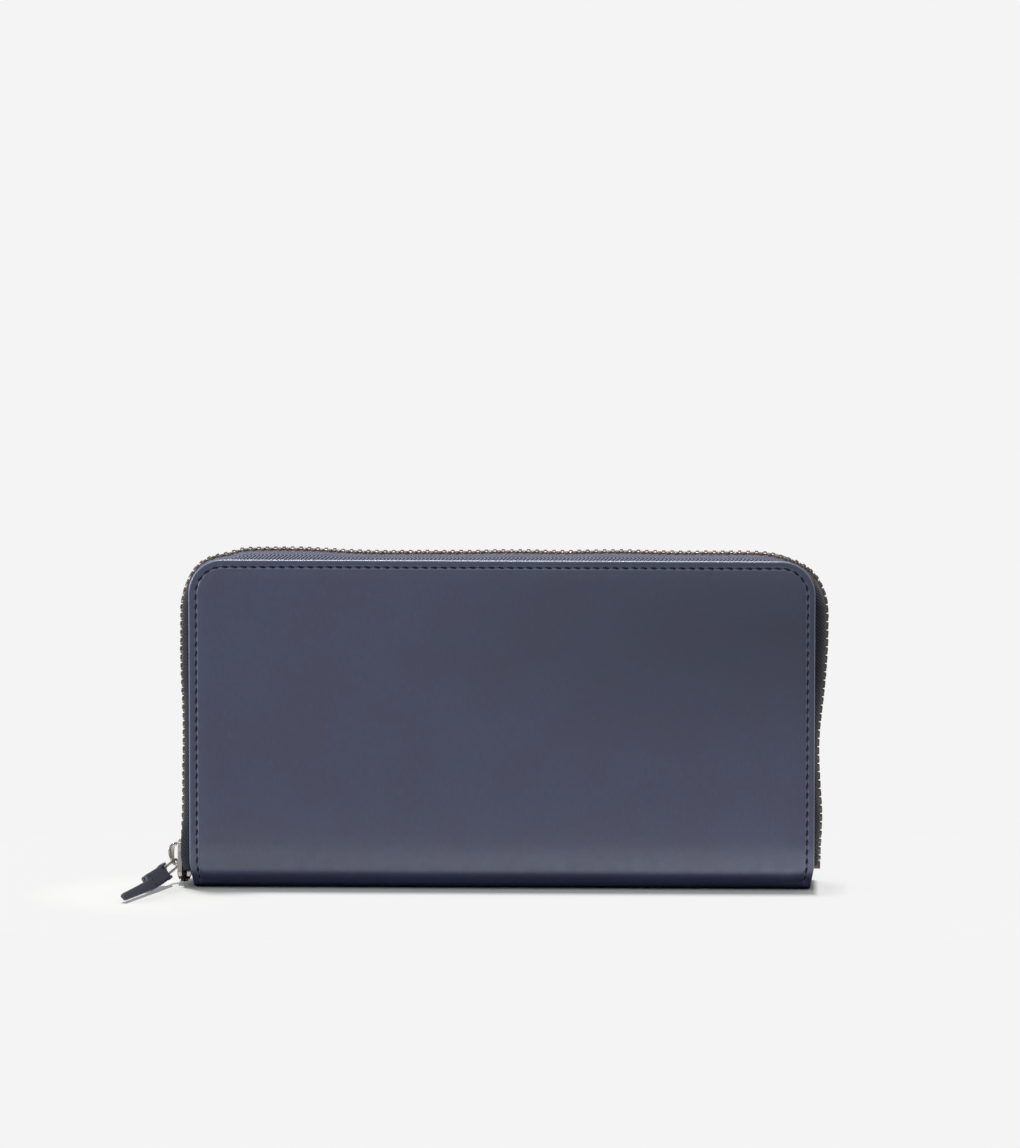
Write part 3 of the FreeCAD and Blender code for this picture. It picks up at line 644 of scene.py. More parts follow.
# ---- seams round the covers ----
def round_border(half_x, low, high, radius):
    """Length and point finder along a path up the left, over the top, down the right."""
    rise = high - radius - low
    quarter = radius * math.pi / 2
    across = 2 * (half_x - radius)
    total = 2 * rise + 2 * quarter + across

    def turn(centre_x, a):
        return ((centre_x + radius * math.cos(a), high - radius + radius * math.sin(a)),
                (math.sin(a), -math.cos(a)))

    def at(t):
        if t < rise:
            return (-half_x, low + t), (0.0, 1.0)
        t -= rise
        if t < quarter:
            return turn(radius - half_x, math.pi - t / radius)
        t -= quarter
        if t < across:
            return (radius - half_x + t, high), (1.0, 0.0)
        t -= across
        if t < quarter:
            return turn(half_x - radius, math.pi / 2 - t / radius)
        return (half_x, high - radius - t + quarter), (0.0, -1.0)
    return total, at


def seam(total, at, face_y, sign, pitch, thread=0.26 * MM, sink=0.5 * MM, slant=0.3 * MM,
         rise=0.06 * MM, gap=0.75 * MM, shape=None):
    """One stitch after another on a face whose outward side is sign along Y, or on a shape."""
    parts = []
    count = int(total / pitch)
    for k in range(count):
        line = []
        for i in range(7):
            u = i / 6
            t = min(total - 1e-6, (k * pitch) + gap / 2 + (pitch - gap) * u)
            (x, z), (tx, tz) = at(t)
            side = slant * (0.5 - u) * 2
            depth = -sink + (sink + rise) * math.sin(math.pi * u) ** 0.5
            jitter = 0.03 * MM * math.sin(k * 12.9898)
            x, z = x - tz * (side + jitter), z + tx * (side + jitter)
            if shape:
                line.append(shape(x, sign * z, depth + tuck(z) + face_y))
            else:
                line.append(Vector((x, face_y + sign * depth, z)))
        parts.append(tube(line, [thread * (0.75 + 0.25 * math.sin(math.pi * i / 6))
                                 for i in range(7)], 6))
    return parts


def seam_piece(name, parts, body):
    verts, faces = join_parts(parts)
    obj = make_mesh(name, verts, faces, THREAD)
    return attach(obj, body)


def build_cover_seams():
    radius = CORNER - STITCH_INSET
    total, at = round_border(HALF_W - STITCH_INSET, SEAM_FOOT, HALF_LENGTH - STITCH_INSET, radius)
    for name, sign, body in (("front_seam", -1, "front_half"), ("back_seam", 1, "back_half")):
        parts = seam(total, at, -0.14 * MM, sign, STITCH_PITCH, shape=hide_shape)
        seam_piece(name, parts, body)


# ---- main zip: the path of its chain ----
TOOTH_THICK = 2.4 * MM
TOOTH_PITCH = 2.7 * MM
TOOTH_ALONG = 1.1 * MM
TOOTH_BACK = 2.7 * MM
TOOTH_TIP = 0.4 * MM
CHAIN_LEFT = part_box("front_top_stop")[0].x + TOOTH_THICK / 2
CHAIN_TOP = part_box("front_zip_tape")[1].z - 0.3 * MM
CHAIN_RIGHT = HALF_W + 3.0 * MM
CHAIN_CORNER = 19.0 * MM
CHAIN_LOW = 2.4 * MM
CHAIN_END = COVER_LOW
LEAN = math.radians(1.5)
ROW_SHIFT = 1.55 * MM
DIAMOND_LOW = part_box("zip_slider")[0].z + 0.5 * MM
DIAMOND_LENGTH = 5.4 * MM
ROW_WIDE = DIAMOND_LOW + 1.5 * MM
PART_START = DIAMOND_LOW + DIAMOND_LENGTH + TOOTH_PITCH

turn_z = CHAIN_TOP - CHAIN_CORNER
left_cx = CHAIN_LEFT + CHAIN_CORNER
right_cx = CHAIN_RIGHT - CHAIN_CORNER
left_run = turn_z - CHAIN_LOW
quarter_turn = CHAIN_CORNER * math.pi / 2
top_run = right_cx - left_cx
right_turn = CHAIN_CORNER * (math.pi / 2 + LEAN)
right_start = Vector((right_cx + CHAIN_CORNER * math.cos(LEAN), 0.0,
                      turn_z - CHAIN_CORNER * math.sin(LEAN)))
right_run = (right_start.z - CHAIN_END) / math.cos(LEAN)
CHAIN_LENGTH = left_run + quarter_turn + top_run + right_turn + right_run


def chain_turn(centre_x, angle):
    """Place and directions on one of the chain's rounded corners."""
    out = Vector((math.cos(angle), 0, math.sin(angle)))
    centre = Vector((centre_x, 0, turn_z))
    return centre + out * CHAIN_CORNER, Vector((out.z, 0, -out.x)), out


def chain_base(s):
    """Point, forward and outward directions along the chain, before its slight waves."""
    if s < left_run:
        return Vector((CHAIN_LEFT, 0, CHAIN_LOW + s)), Vector((0, 0, 1)), Vector((-1, 0, 0))
    s -= left_run
    if s < quarter_turn:
        return chain_turn(left_cx, math.pi - s / CHAIN_CORNER)
    s -= quarter_turn
    if s < top_run:
        return Vector((left_cx + s, 0, CHAIN_TOP)), Vector((1, 0, 0)), Vector((0, 0, 1))
    s -= top_run
    if s < right_turn:
        return chain_turn(right_cx, math.pi / 2 - s / CHAIN_CORNER)
    s -= right_turn
    out = Vector((math.cos(LEAN), 0, -math.sin(LEAN)))
    along = Vector((out.z, 0, -out.x))
    return right_start + along * s, along, out


# How far a hand-sewn tape stands out or sags: (height, place, width) of each, mm. Places run
# along Z on the two sides, and along X over the top and the corners.
LEFT_WAVES = [(-0.7, 46, 20)]
RIGHT_WAVES = [(-1.4, 45, 17), (0.5, 22, 8), (0.4, 80, 10)]
TOP_WAVES = [(-0.45, -34, 16), (-0.6, 72, 20), (0.35, -72, 16)]
CORNER_WAVES = [(-1.0, 90.5, 6.5), (-1.1, -88, 4.5), (0.4, -97, 3)]
TOP_SAG = 0.75


def humps(value, waves):
    """The sum of soft rises at a place, mm."""
    return sum(h * math.exp(-((value / MM - centre) / width) ** 2) for h, centre, width in waves)


def chain(s):
    """The chain with the sags and bulges that a hand-sewn tape keeps, calm at both ends."""
    point, along, out = chain_base(s)
    calm = smooth((s - 12 * MM) / (10 * MM)) * smooth((CHAIN_LENGTH - s) / (6 * MM))
    wave = 0.10 * math.sin(s * 190.0 + 0.8) + humps(point.x, CORNER_WAVES)
    if out.x < -0.7:
        wave += humps(point.z, LEFT_WAVES)
    elif out.x > 0.7:
        wave += humps(point.z, RIGHT_WAVES)
    else:
        wave += humps(point.x, TOP_WAVES) - TOP_SAG * smooth(1 - abs(point.x) / HALF_W) ** 0.5
    return point + out * (wave * calm * MM), along, out


def row_shift(z):
    """How far a row is pushed aside beside the slider's diamond."""
    if z >= PART_START:
        return 0.0
    if z <= ROW_WIDE:
        return ROW_SHIFT
    return ROW_SHIFT * (PART_START - z) / (PART_START - ROW_WIDE)


def tooth_template():
    """One tooth of the front row: two legs gripping the tape and a cupped head."""
    h = TOOTH_THICK / 2
    k = TOOTH_BACK
    profile = [(-k, 0.62 * h), (-k + 0.25 * MM, h), (-0.75 * MM, h), (-0.35 * MM, 0.9 * h),
               (TOOTH_TIP - 0.25 * MM, 0.72 * h), (TOOTH_TIP, 0.4 * h)]
    profile += [(y, -n) for y, n in reversed(profile)]
    mesh = prism(*([(a, y, n) for y, n in profile] for a in (-TOOTH_ALONG / 2, TOOTH_ALONG / 2)))
    edges = [e for e in mesh.edges if e.calc_face_angle(0) > 0.9]
    bmesh.ops.bevel(mesh, geom=edges, offset=0.14 * MM, segments=2, affect="EDGES", profile=0.6)
    for v in mesh.verts:
        nub = max(0.0, 1 - abs(v.co.y + 0.1 * MM) / (0.5 * MM))
        v.co.x *= 1 + 0.22 * nub * (1 if v.co.x > 0 else -0.6)
    mesh.verts.index_update()
    points = [v.co.copy() for v in mesh.verts]
    faces = [tuple(v.index for v in f.verts) for f in mesh.faces]
    mesh.free()
    return points, faces


def turned(faces, side):
    """Faces as they are, or turned over for a mirrored tooth."""
    return faces if side > 0 else [tuple(reversed(f)) for f in faces]


def build_teeth():
    points, faces = tooth_template()
    for name, node, side, first, body in (
            ("front_teeth", "front_zip_teeth", 1, TOOTH_ALONG, "front_half"),
            ("back_teeth", "back_zip_teeth", -1, TOOTH_ALONG + TOOTH_PITCH / 2, "back_half")):
        parts = []
        s = first
        while s + TOOTH_ALONG / 2 < CHAIN_LENGTH:
            centre, along, out = chain(s)
            shift = row_shift(s + CHAIN_LOW)
            tip = random.uniform(-0.05, 0.05) * MM
            placed = [
                centre + along * p.x + out * (p.z + tip) + Vector((0, side * (p.y - shift), 0))
                for p in points]
            parts.append((placed, turned(faces, side)))
            s += TOOTH_PITCH
        verts, all_faces = join_parts(parts)
        obj = make_mesh(name, verts, all_faces, TEETH_METAL)
        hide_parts(node)
        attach(obj, body)


# ---- main zip: tapes ----
TAPE_THICK = 0.6 * MM
TAPE_CORD = {0: 1.7, 1: 1.25}    # the thicker edge: shares of the thickness, point by point
TAPE_START = 1.9 * MM
TAPE_FLAT = 6.2 * MM
TAPE_SHOULDER = 8.0 * MM
TAPE_SWELL = 1.0 * MM
TAPE_RIPPLE = 0.08 * MM
TAPE_WALL_LOW = 6.0 * MM
TAPE_LAYER = 0.02                # sets the back face apart on the flat sheet
SEWN_Y = INSIDE - 0.3 * MM


def tape_centre():
    """Centreline of the tape's section: (distance from the chain, outward)."""
    line = [(TAPE_START / MM, 0.0), (2.6, 0.0), (3.4, 0.0), (4.3, 0.02), (5.2, 0.02), (6.1, -0.03),
            (7.0, -0.15), (7.8, -0.33), (8.5, -0.6), (9.1, -0.95), (9.6, -1.35)]
    line = [(y * MM, n * MM) for y, n in line]
    line += [(SEWN_Y - 0.42 * MM, -1.75 * MM), (SEWN_Y - 0.15 * MM, -2.2 * MM),
             (SEWN_Y, -2.8 * MM), (SEWN_Y, -4.5 * MM), (SEWN_Y, -6.5 * MM), (SEWN_Y, -9.0 * MM)]
    return line


def tape_section():
    """Both faces of the tape's section, thicker at its corded edge, and the distances
    across it."""
    line = tape_centre()
    across = [0.0]
    for a, b in zip(line, line[1:]):
        across.append(across[-1] + math.dist(a, b))
    section = []
    for face in (1, -1):
        order = range(len(line)) if face > 0 else reversed(range(len(line)))
        for i in order:
            (y, n), (ty, tn) = line[i], slope(line, i)
            thick = face * TAPE_THICK / 2 * TAPE_CORD.get(i, 1.0)
            section.append((y - tn * thick, n + ty * thick, across[i] + (face < 0) * TAPE_LAYER))
    return section, across


def tape_point(y, n, s, z, side):
    """Where a point of the section goes beside the chain: cut off low down, swelling beside
    the slider, pushed aside with the teeth and faintly rippled."""
    cut = max(0.0, min(1.0, (TAPE_WALL_LOW - z) / (0.5 * MM)))
    if cut > 0 and y > TAPE_FLAT:
        y, n = y + (TAPE_FLAT - y) * cut, n * (1 - cut)
    swell = smooth((z - 5 * MM) / (6 * MM)) * smooth((24 * MM - z) / (9 * MM))
    n += TAPE_SWELL * swell * math.exp(-((y - TAPE_SHOULDER) / (1.9 * MM)) ** 2)
    y += row_shift(z) * max(0.0, 1 - (y - TAPE_START) / (TAPE_FLAT - TAPE_START))
    ripple = TAPE_RIPPLE * math.sin(s * 420.0 + side) * max(0.0, min(1.0, y / (3 * MM) - 1))
    return y, n + ripple


def build_tapes():
    section, across = tape_section()
    stations = spread(-0.9 * MM, CHAIN_LENGTH, 1.2 * MM)
    for name, node, side, body in (("front_tape", "front_zip_tape", -1, "front_half"),
                                   ("back_tape", "back_zip_tape", 1, "back_half")):
        verts, flat = [], []
        for s in stations:
            centre, along, out = chain(max(s, 0.0))
            centre = centre + along * min(s, 0.0)
            for y, n, v in section:
                y, n = tape_point(y, n, s, s + CHAIN_LOW, side)
                verts.append(centre + out * n + Vector((0, side * y, 0)))
                flat.append((s, v))
        faces = bar_faces(len(stations), len(section))
        obj = finish_normals(make_mesh(name, verts, faces, TAPE, flat))
        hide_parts(node)
        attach(obj, body)


# ---- slider, crown and link ----
def build_slider():
    keep_shape("zip_slider", NICKEL, 0.28 * MM)
    for stop in ("front_top_stop", "back_top_stop", "bottom_stop"):
        keep_shape(stop, TEETH_METAL, 0.12 * MM)
    build_crown()


def build_crown():
    """The bail over the slider: a flat strip bowed outward, half its width given along it."""
    low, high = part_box("slider_crown")
    root_x = high.x - 0.25 * MM
    reach = low.x + 0.35 * MM
    path = [(root_x, high.z - 0.7 * MM, 1.1 * MM),
            (root_x - 0.7 * MM, high.z - 0.25 * MM, 1.35 * MM)]
    path += [(reach + inward * MM, high.z - drop * MM, wide * MM) for inward, drop, wide in (
        (0.75, 0.55, 1.7), (0.15, 1.6, 1.95), (0.0, 2.9, 1.95), (0.1, 4.2, 1.6),
        (0.3, 5.4, 1.15), (0.6, 6.5, 0.85))]
    path += [(reach + 1.0 * MM, low.z + 0.55 * MM, 0.75 * MM),
             (root_x - 0.7 * MM, low.z + 0.35 * MM, 0.75 * MM),
             (root_x, low.z + 0.45 * MM, 0.75 * MM)]
    rim = [(-1, -0.6), (-0.8, -1), (0.8, -1), (1, -0.6), (1, 0.6), (0.8, 1), (-0.8, 1), (-1, 0.6)]
    thick = 0.42 * MM
    yaw = math.radians(22)
    verts = []
    for i, (x, z, w) in enumerate(path):
        a, b = path[max(i - 1, 0)], path[min(i + 1, len(path) - 1)]
        along = Vector((b[0] - a[0], 0, b[1] - a[1])).normalized()
        normal = Vector((along.z, 0, -along.x))
        share = min(1.0, i / 2, (len(path) - 1 - i) / 2)
        across = Vector((math.sin(yaw * share), math.cos(yaw * share), 0))
        for u, v in rim:
            verts.append(Vector((x, 0, z)) + across * (u * w) + normal * (v * thick))
    faces = ring_faces(len(path), len(rim))
    faces += [tuple(range(len(rim))), tuple(len(verts) - 1 - k for k in range(len(rim)))]
    crown = make_mesh("crown", verts, faces, NICKEL)
    modifier(crown, "SUBSURF", levels=2, render_levels=2)
    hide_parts("slider_crown")
    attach(crown, "slider")


LEG = Vector(JOINTS["pull_link_swing"]["pos_m"])
BAR = Vector(JOINTS["pull_tab_swing"]["pos_m"])
FORWARD = (BAR - LEG).normalized()
LINK_SIDE = Vector(JOINTS["pull_tab_swing"]["axis"]).normalized()
LINK_LENGTH = (BAR - LEG).length
LINK_HALF = 1.45 * MM
LINK_WIRE = 0.42 * MM


def build_link():
    """Wire stirrup: round the crown's lower leg behind, through the tab's fold in front."""

    def arc(f, t, radius, low, high):
        turns = [math.radians(a) for a in range(low, high + 1, 15)]
        return [(f + radius * math.cos(a), t + radius * math.sin(a)) for a in turns]

    w, bend = LINK_HALF, 0.7 * MM
    end, middle = LINK_LENGTH - bend, LINK_LENGTH * 0.35
    flat = arc(0, 0, w, 90, 270) + [(middle, -w), (end, -w)]
    flat += arc(end, bend - w, bend, -75, 0) + [(LINK_LENGTH, 0.0)]
    flat += arc(end, w - bend, bend, 0, 90) + [(middle, w)]
    line = [LEG + FORWARD * f + LINK_SIDE * t for f, t in flat]
    verts, faces = tube(line, LINK_WIRE, 12, FORWARD.cross(LINK_SIDE), closed=True)
    obj = make_mesh("wire_link", verts, faces, NICKEL)
    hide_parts("pull_link")
    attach(obj, "link")


# ---- leather pull tab ----
TAB_PLY = 1.1 * MM
TAB_LENGTH = 38.6 * MM
TAB_HEAD = 20.0 * MM
TAB_CUT = 1.3 * MM
TAB_END = 0.95
TAB_HEAD_WIDE = 5.4 * MM
TAB_TAIL_WIDE = 3.6 * MM
TAB_TAIL_OFFSET = 0.9 * MM
TAB_TIP_HEIGHT = 1.8 * MM
TAB_TWIST = math.radians(45.0)
TAB_BEND = 0.22
TAB_ROLL = math.radians(36.0)
TAB_BORE = LINK_WIRE + 0.12 * MM
FOLD_BORE = 0.15 * MM
link_normal = FORWARD.cross(LINK_SIDE)
tab_turn = math.radians(-4.0)
TAB_FLAT = (FORWARD * math.cos(tab_turn) + link_normal * math.sin(tab_turn)).normalized()
tail_flat = Vector((TAB_FLAT.x, TAB_FLAT.y, 0)).normalized()
TAIL_END = Vector((BAR.x, BAR.y, TAB_TIP_HEIGHT)) + tail_flat * math.sqrt(
    TAB_LENGTH ** 2 - (BAR.z - TAB_TIP_HEIGHT) ** 2)


def strap_frame(t):
    """Centre and directions of the strap from the bar (0) to the tip (1)."""
    bend = BAR + TAB_FLAT * (TAB_LENGTH * TAB_BEND)
    centre = BAR * (1 - t) ** 2 + bend * (2 * t * (1 - t)) + TAIL_END * t ** 2
    along = ((bend - BAR) * (1 - t) + (TAIL_END - bend) * t).normalized()
    side = (LINK_SIDE - along * LINK_SIDE.dot(along)).normalized()
    normal = along.cross(side)
    head = TAB_HEAD / TAB_LENGTH
    roll = TAB_ROLL * smooth(t / (0.4 * head) + 0.6)
    angle = roll + (TAB_TWIST - roll) * max(0.0, (t - head) / (1 - head))
    side = side * math.cos(angle) + normal * math.sin(angle)
    return centre, along, side, along.cross(side)


def strap_ply(stations, low, high):
    """A leather ply with burnished, rounded edges; stations are (t, width, shift aside)."""
    verts, flat = [], []
    half_n = (high - low) / 2
    mid = (high + low) / 2
    rim = []
    for i in range(16):
        a = 2 * math.pi * (i + 0.5) / 16
        u, v = math.cos(a), math.sin(a)
        rim.append((math.copysign(abs(u) ** 0.25, u), math.copysign(abs(v) ** 0.55, v)))
    for t, wide, shift in stations:
        centre, _, side, normal = strap_frame(t)
        centre -= side * shift
        for u, v in rim:
            pinch = 1.0 - 0.18 * abs(u) ** 6
            verts.append(centre + side * (u * wide / 2) + normal * (mid + v * half_n * pinch))
            flat.append((t * TAB_LENGTH, u * wide / 2))
    return verts, bar_faces(len(stations), len(rim)), flat


def fold_round(low, high):
    """The leather turned round the link's bar between two heights across the strap."""
    verts, flat = [], []
    centre, along, side, normal = strap_frame(0.0)
    outer = TAB_PLY + 0.12 * MM
    leg = TAB_BORE + TAB_PLY + 0.3 * MM
    turns = [math.radians(90 + 180 * i / 14) for i in range(15)]
    ring = [(leg, outer)] + [(outer * math.cos(a), outer * math.sin(a)) for a in turns]
    ring += [(leg, -outer), (leg, -FOLD_BORE)]
    ring += [(FOLD_BORE * math.cos(a), FOLD_BORE * math.sin(a)) for a in reversed(turns)]
    ring.append((leg, FOLD_BORE))
    levels = [(low, 0.93), (low + 0.15 * MM, 1.0), (high - 0.15 * MM, 1.0), (high, 0.93)]
    for h, share in levels:
        for f, n in ring:
            if math.hypot(f, n) > outer - 0.1 * MM:
                f, n = f * share if f < 0 else f, n * share
            verts.append(centre + side * h + along * f + normal * n)
            flat.append((f + n, h))
    return verts, bar_faces(len(levels), len(ring)), flat


def build_tab():
    """A folded double head, a single narrower tail with a rounded tip, and the turned fold
    in two pieces beside the link's slot."""
    head = TAB_HEAD / TAB_LENGTH
    start = (TAB_BORE + TAB_PLY) / TAB_LENGTH
    tail = (TAB_HEAD + 0.5 * MM) / TAB_LENGTH
    tip = TAB_END - TAB_CUT / TAB_LENGTH
    head_run = [(t, TAB_HEAD_WIDE, 0.0) for t in spread(start, head - 0.02, 0.03)]
    head_run += [(head - 0.008, TAB_HEAD_WIDE - 0.1 * MM, 0.0),
                 (head, TAB_HEAD_WIDE - 0.5 * MM, 0.0)]
    taper = 1.0 * MM / (tip - tail)
    tail_run = [(t, TAB_TAIL_WIDE - taper * (t - tail), TAB_TAIL_OFFSET - taper * (t - tail) / 3)
                for t in spread(tail, tip, 0.03)]
    for share, narrow in ((0.35, 0.05), (0.65, 0.15), (0.88, 0.35), (1.0, 0.65)):
        tail_run.append((tip + (TAB_END - tip) * share, TAB_TAIL_WIDE - (1.0 + narrow) * MM,
                         TAB_TAIL_OFFSET - 0.33 * MM))
    slot = LINK_WIRE * 2 + 0.24 * MM
    outer = LINK_HALF + slot / 2
    half = TAB_HEAD_WIDE / 2
    parts = [strap_ply(head_run[:-1] + tail_run, -TAB_PLY, -0.03 * MM),
             strap_ply(head_run, 0.03 * MM, TAB_PLY),
             fold_round(-half, -outer), fold_round(outer, half)]
    verts, faces = join_parts([part[:2] for part in parts])
    flat = [uv for part in parts for uv in part[2]]
    tab = finish_normals(make_mesh("pull_strap", verts, faces, PULL_LEATHER, flat))
    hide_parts("pull_tab")
    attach(tab, "tab")
    build_tab_thread()


def build_tab_thread():
    """Three short slanted stitches across the end of the fold."""
    centre, _, side, normal = strap_frame((TAB_HEAD - 2.2 * MM) / TAB_LENGTH)
    stitches = []
    for offset in (-1.6, 0.0, 1.6):
        line = []
        for i in range(7):
            u = i / 6 - 0.5
            line.append(centre + side * ((offset + 0.8 * u) * MM) - normal * (
                TAB_PLY + (0.16 * math.cos(math.pi * u) - 0.14) * MM))
        stitches.append(tube(line, 0.15 * MM, 6))
    verts, faces = join_parts(stitches)
    thread = make_mesh("strap_thread", verts, faces, THREAD)
    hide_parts("tab_thread")
    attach(thread, "tab")


# ---- interior: pieces cut from flat sheets ----
LINING_STEP = 6.5 * MM
LINING_STEP_RISE = 4.0 * MM


def build_lining():
    """One lining cloth inside the covers and the spine, stepping over the boards' lower edge."""
    low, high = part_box("front_lining")
    spine_low, spine_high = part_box("spine_lining")
    reach, base = spine_high.y, spine_low.z
    bend = FOLD - LEATHER
    thick = high.y - low.y
    over_board = reach + low.y
    length = reach - bend + bend * math.pi / 2 + high.z - base - bend
    radius = 13.0 * MM
    bent = folded(reach, bend, base)

    def shape(x, s, n):
        p = bent(x, s, n)
        p.y -= math.copysign(over_board, s) * smooth((p.z - LINING_STEP) / LINING_STEP_RISE)
        return p

    def puff(x, s, d):
        return noise.noise(Vector((x, s, 5.0)) * 30.0) * 0.05 * MM

    xs = spread(radius - high.x, high.x - radius, 5 * MM)
    wall = spread(reach - bend + bend * math.pi / 2 + 6 * MM, length - radius, 5 * MM)
    foot = spread(-wall[0], wall[0], 1.0 * MM)
    ss = [-s for s in reversed(wall)] + foot[1:-1] + wall
    insets = [i * thick / 2 for i in EDGE_ROUND] + [1.0 * MM, 2.5 * MM, 5 * MM, 8 * MM, 11 * MM]
    plan = sheet_plan(high.x, -length, length, radius, xs, ss, 1, 12, insets)
    lining = thick_sheet("lining_cloth", plan, thick, shape, LINING, puff)
    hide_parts("front_lining", "back_lining", "spine_lining")
    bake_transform(lining)
    declare_sheet(high.x, -length, length, radius)
    for board in ("front_board", "back_board"):
        keep_shape(board, BOARD, 0.15 * MM)


SEW_IN = 2.0 * MM
SEW_GROOVE = 0.28 * MM
POCKET_CORNER = 3.0 * MM


def pocket_sheet(name, node, facing, thick, material, body,
                 rim=0.0, bow=0.0, columns=1):
    """A flat pocket wall with a turned, sewn top edge. rim is the depth of the seam
    allowance behind its sides and foot; bow lets the top edge stand off a little."""
    low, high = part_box(node)
    face = high.y if facing > 0 else low.y
    half, radius = high.x, POCKET_CORNER

    def shape(x, s, n):
        column = (x + half) / (2 * half) * columns % 1.0
        stand = bow * math.sin(math.pi * column) * smooth(1 - (high.z - s) / (9 * MM))
        return Vector((x, face + facing * (n + stand), s))

    def relief(x, s, d):
        groove = math.exp(-((high.z - s - SEW_IN) / SEW_GROOVE) ** 2)
        sides = math.exp(-((half - abs(x) - SEW_IN) / SEW_GROOVE) ** 2)
        uneven = noise.noise(Vector((x, s, face * 900)) * 40.0) * 0.04
        return (uneven - 0.12 * max(groove, sides)) * MM

    def back(x, s, d):
        edge = min(half - abs(x), s - low.z)
        return -rim * smooth((3.0 * MM - edge) / (0.8 * MM))

    insets = [i * thick / 2 for i in EDGE_ROUND]
    insets += [i * MM for i in (0.7, 1.2, 1.6, 1.8, 2.0, 2.2, 2.5, 2.8)]
    xs = spread(radius - half, half - radius, 4 * MM)
    ss = spread(low.z + radius, high.z - radius, 4 * MM)
    plan = sheet_plan(half, low.z, high.z, radius, xs, ss, 1, 5, insets)
    obj = thick_sheet(name, plan, thick, shape, material, relief, under=back if rim else None)
    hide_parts(node)
    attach(obj, body)
    declare_sheet(half, low.z, high.z, radius)
    return face


def straight(x0, z0, x1, z1):
    """Length and point finder along one straight seam."""
    total = math.hypot(x1 - x0, z1 - z0)
    along = ((x1 - x0) / total, (z1 - z0) / total)

    def at(t):
        return (x0 + along[0] * t, z0 + along[1] * t), along
    return total, at


def sew(lines, face, facing):
    """Fine stitching along straight lines on a pocket's face."""
    parts = []
    for line in lines:
        total, at = straight(*line)
        parts += seam(total, at, face, facing, 2.6 * MM, thread=0.17 * MM, sink=0.3 * MM,
                      slant=0.1 * MM, rise=0.0, gap=0.5 * MM)
    return parts


CARD_SHEET = 0.55 * MM
CARD_STEP = 11.0 * MM
CARD_TIERS = 4
COLUMN_GAP = 1.5 * MM
POCKET_SHEET = 0.6 * MM


def build_card_pockets():
    """The wide slip pocket, and on it the stepped card slots in two columns."""
    face = pocket_sheet("slip_pocket_cloth", "slip_pocket", 1, CARD_SHEET, LINING,
                        "front_half", rim=0.15 * MM)
    low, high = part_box("slip_pocket")
    edge = high.x - SEW_IN
    seams = sew([(-edge, high.z - SEW_IN, edge, high.z - SEW_IN)], face, 1)
    for tier in range(1, CARD_TIERS + 1):
        node = "card_pocket_" + str(tier)
        name = "card_slot_" + str(tier)
        face = pocket_sheet(name, node, 1, CARD_SHEET, POCKET_LEATHER,
                            "front_half", rim=0.15 * MM, bow=0.12 * MM, columns=2)
        low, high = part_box(node)
        front = tier == CARD_TIERS
        foot = low.z + SEW_IN if front else high.z - CARD_STEP + 0.5 * MM
        top = high.z - SEW_IN
        seams += sew([(-edge, top, -COLUMN_GAP, top), (COLUMN_GAP, top, edge, top),
                      (-edge, foot, -edge, top), (edge, foot, edge, top), (0, foot, 0, top)],
                     face, 1)
        if front:
            seams += sew([(-edge, foot, edge, foot)], face, 1)
    seam_piece("pocket_seams", seams, "front_half")


def build_passport_pocket():
    """The sleeve for the passport, closed behind by a narrow side strip round three edges."""
    low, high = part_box("passport_pocket")
    face = pocket_sheet("passport_sleeve", "passport_pocket", -1, POCKET_SHEET, POCKET_LEATHER,
                        "back_half", bow=-0.1 * MM)
    build_passport_side(low, high)
    edge = high.x - SEW_IN
    foot, top = low.z + SEW_IN, high.z - 2 * SEW_IN
    seams = sew([(-edge, high.z - SEW_IN, edge, high.z - SEW_IN), (-edge, foot, -edge, top),
                 (edge, foot, edge, top), (-edge, foot, edge, foot)], face, -1)
    seam_piece("passport_seams", seams, "back_half")


def build_passport_side(low, high):
    wall, radius = 0.8 * MM, POCKET_CORNER
    centre = high.x - wall / 2
    foot = low.z + wall / 2
    line = [(-centre, z) for z in reversed(spread(foot + radius, high.z - 0.5 * MM, 4 * MM))]
    line += [(-centre + radius - radius * math.cos(math.radians(a)),
              foot + radius - radius * math.sin(math.radians(a))) for a in (30, 60)]
    line += [(x, foot) for x in spread(radius - centre, centre - radius, 4 * MM)]
    line += [(-x, z) for x, z in reversed(line[:len(line) - 1]) if z > foot + 0.1 * MM]
    y_low, y_high = low.y + POCKET_SHEET + 0.02 * MM, high.y - 0.02 * MM
    depths = spread(y_low, y_high, 0.35 * MM)
    verts, flat = [], []
    run = 0.0
    for i, (x, z) in enumerate(line):
        ax, az = slope(line, i)
        run += math.dist(line[max(i - 1, 0)], (x, z))
        for side in (1, -1):
            for y in depths if side > 0 else reversed(depths):
                crease = 0.10 * math.cos((y - y_low) / (y_high - y_low) * 4 * math.pi) * MM
                off = crease + side * (wall / 2 - 0.1 * MM)
                verts.append((x - az * off, y, z + ax * off))
                flat.append((run, y))
    faces = bar_faces(len(line), 2 * len(depths))
    gusset = finish_normals(make_mesh("passport_side", verts, faces, POCKET_LEATHER, flat))
    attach(gusset, "back_half")


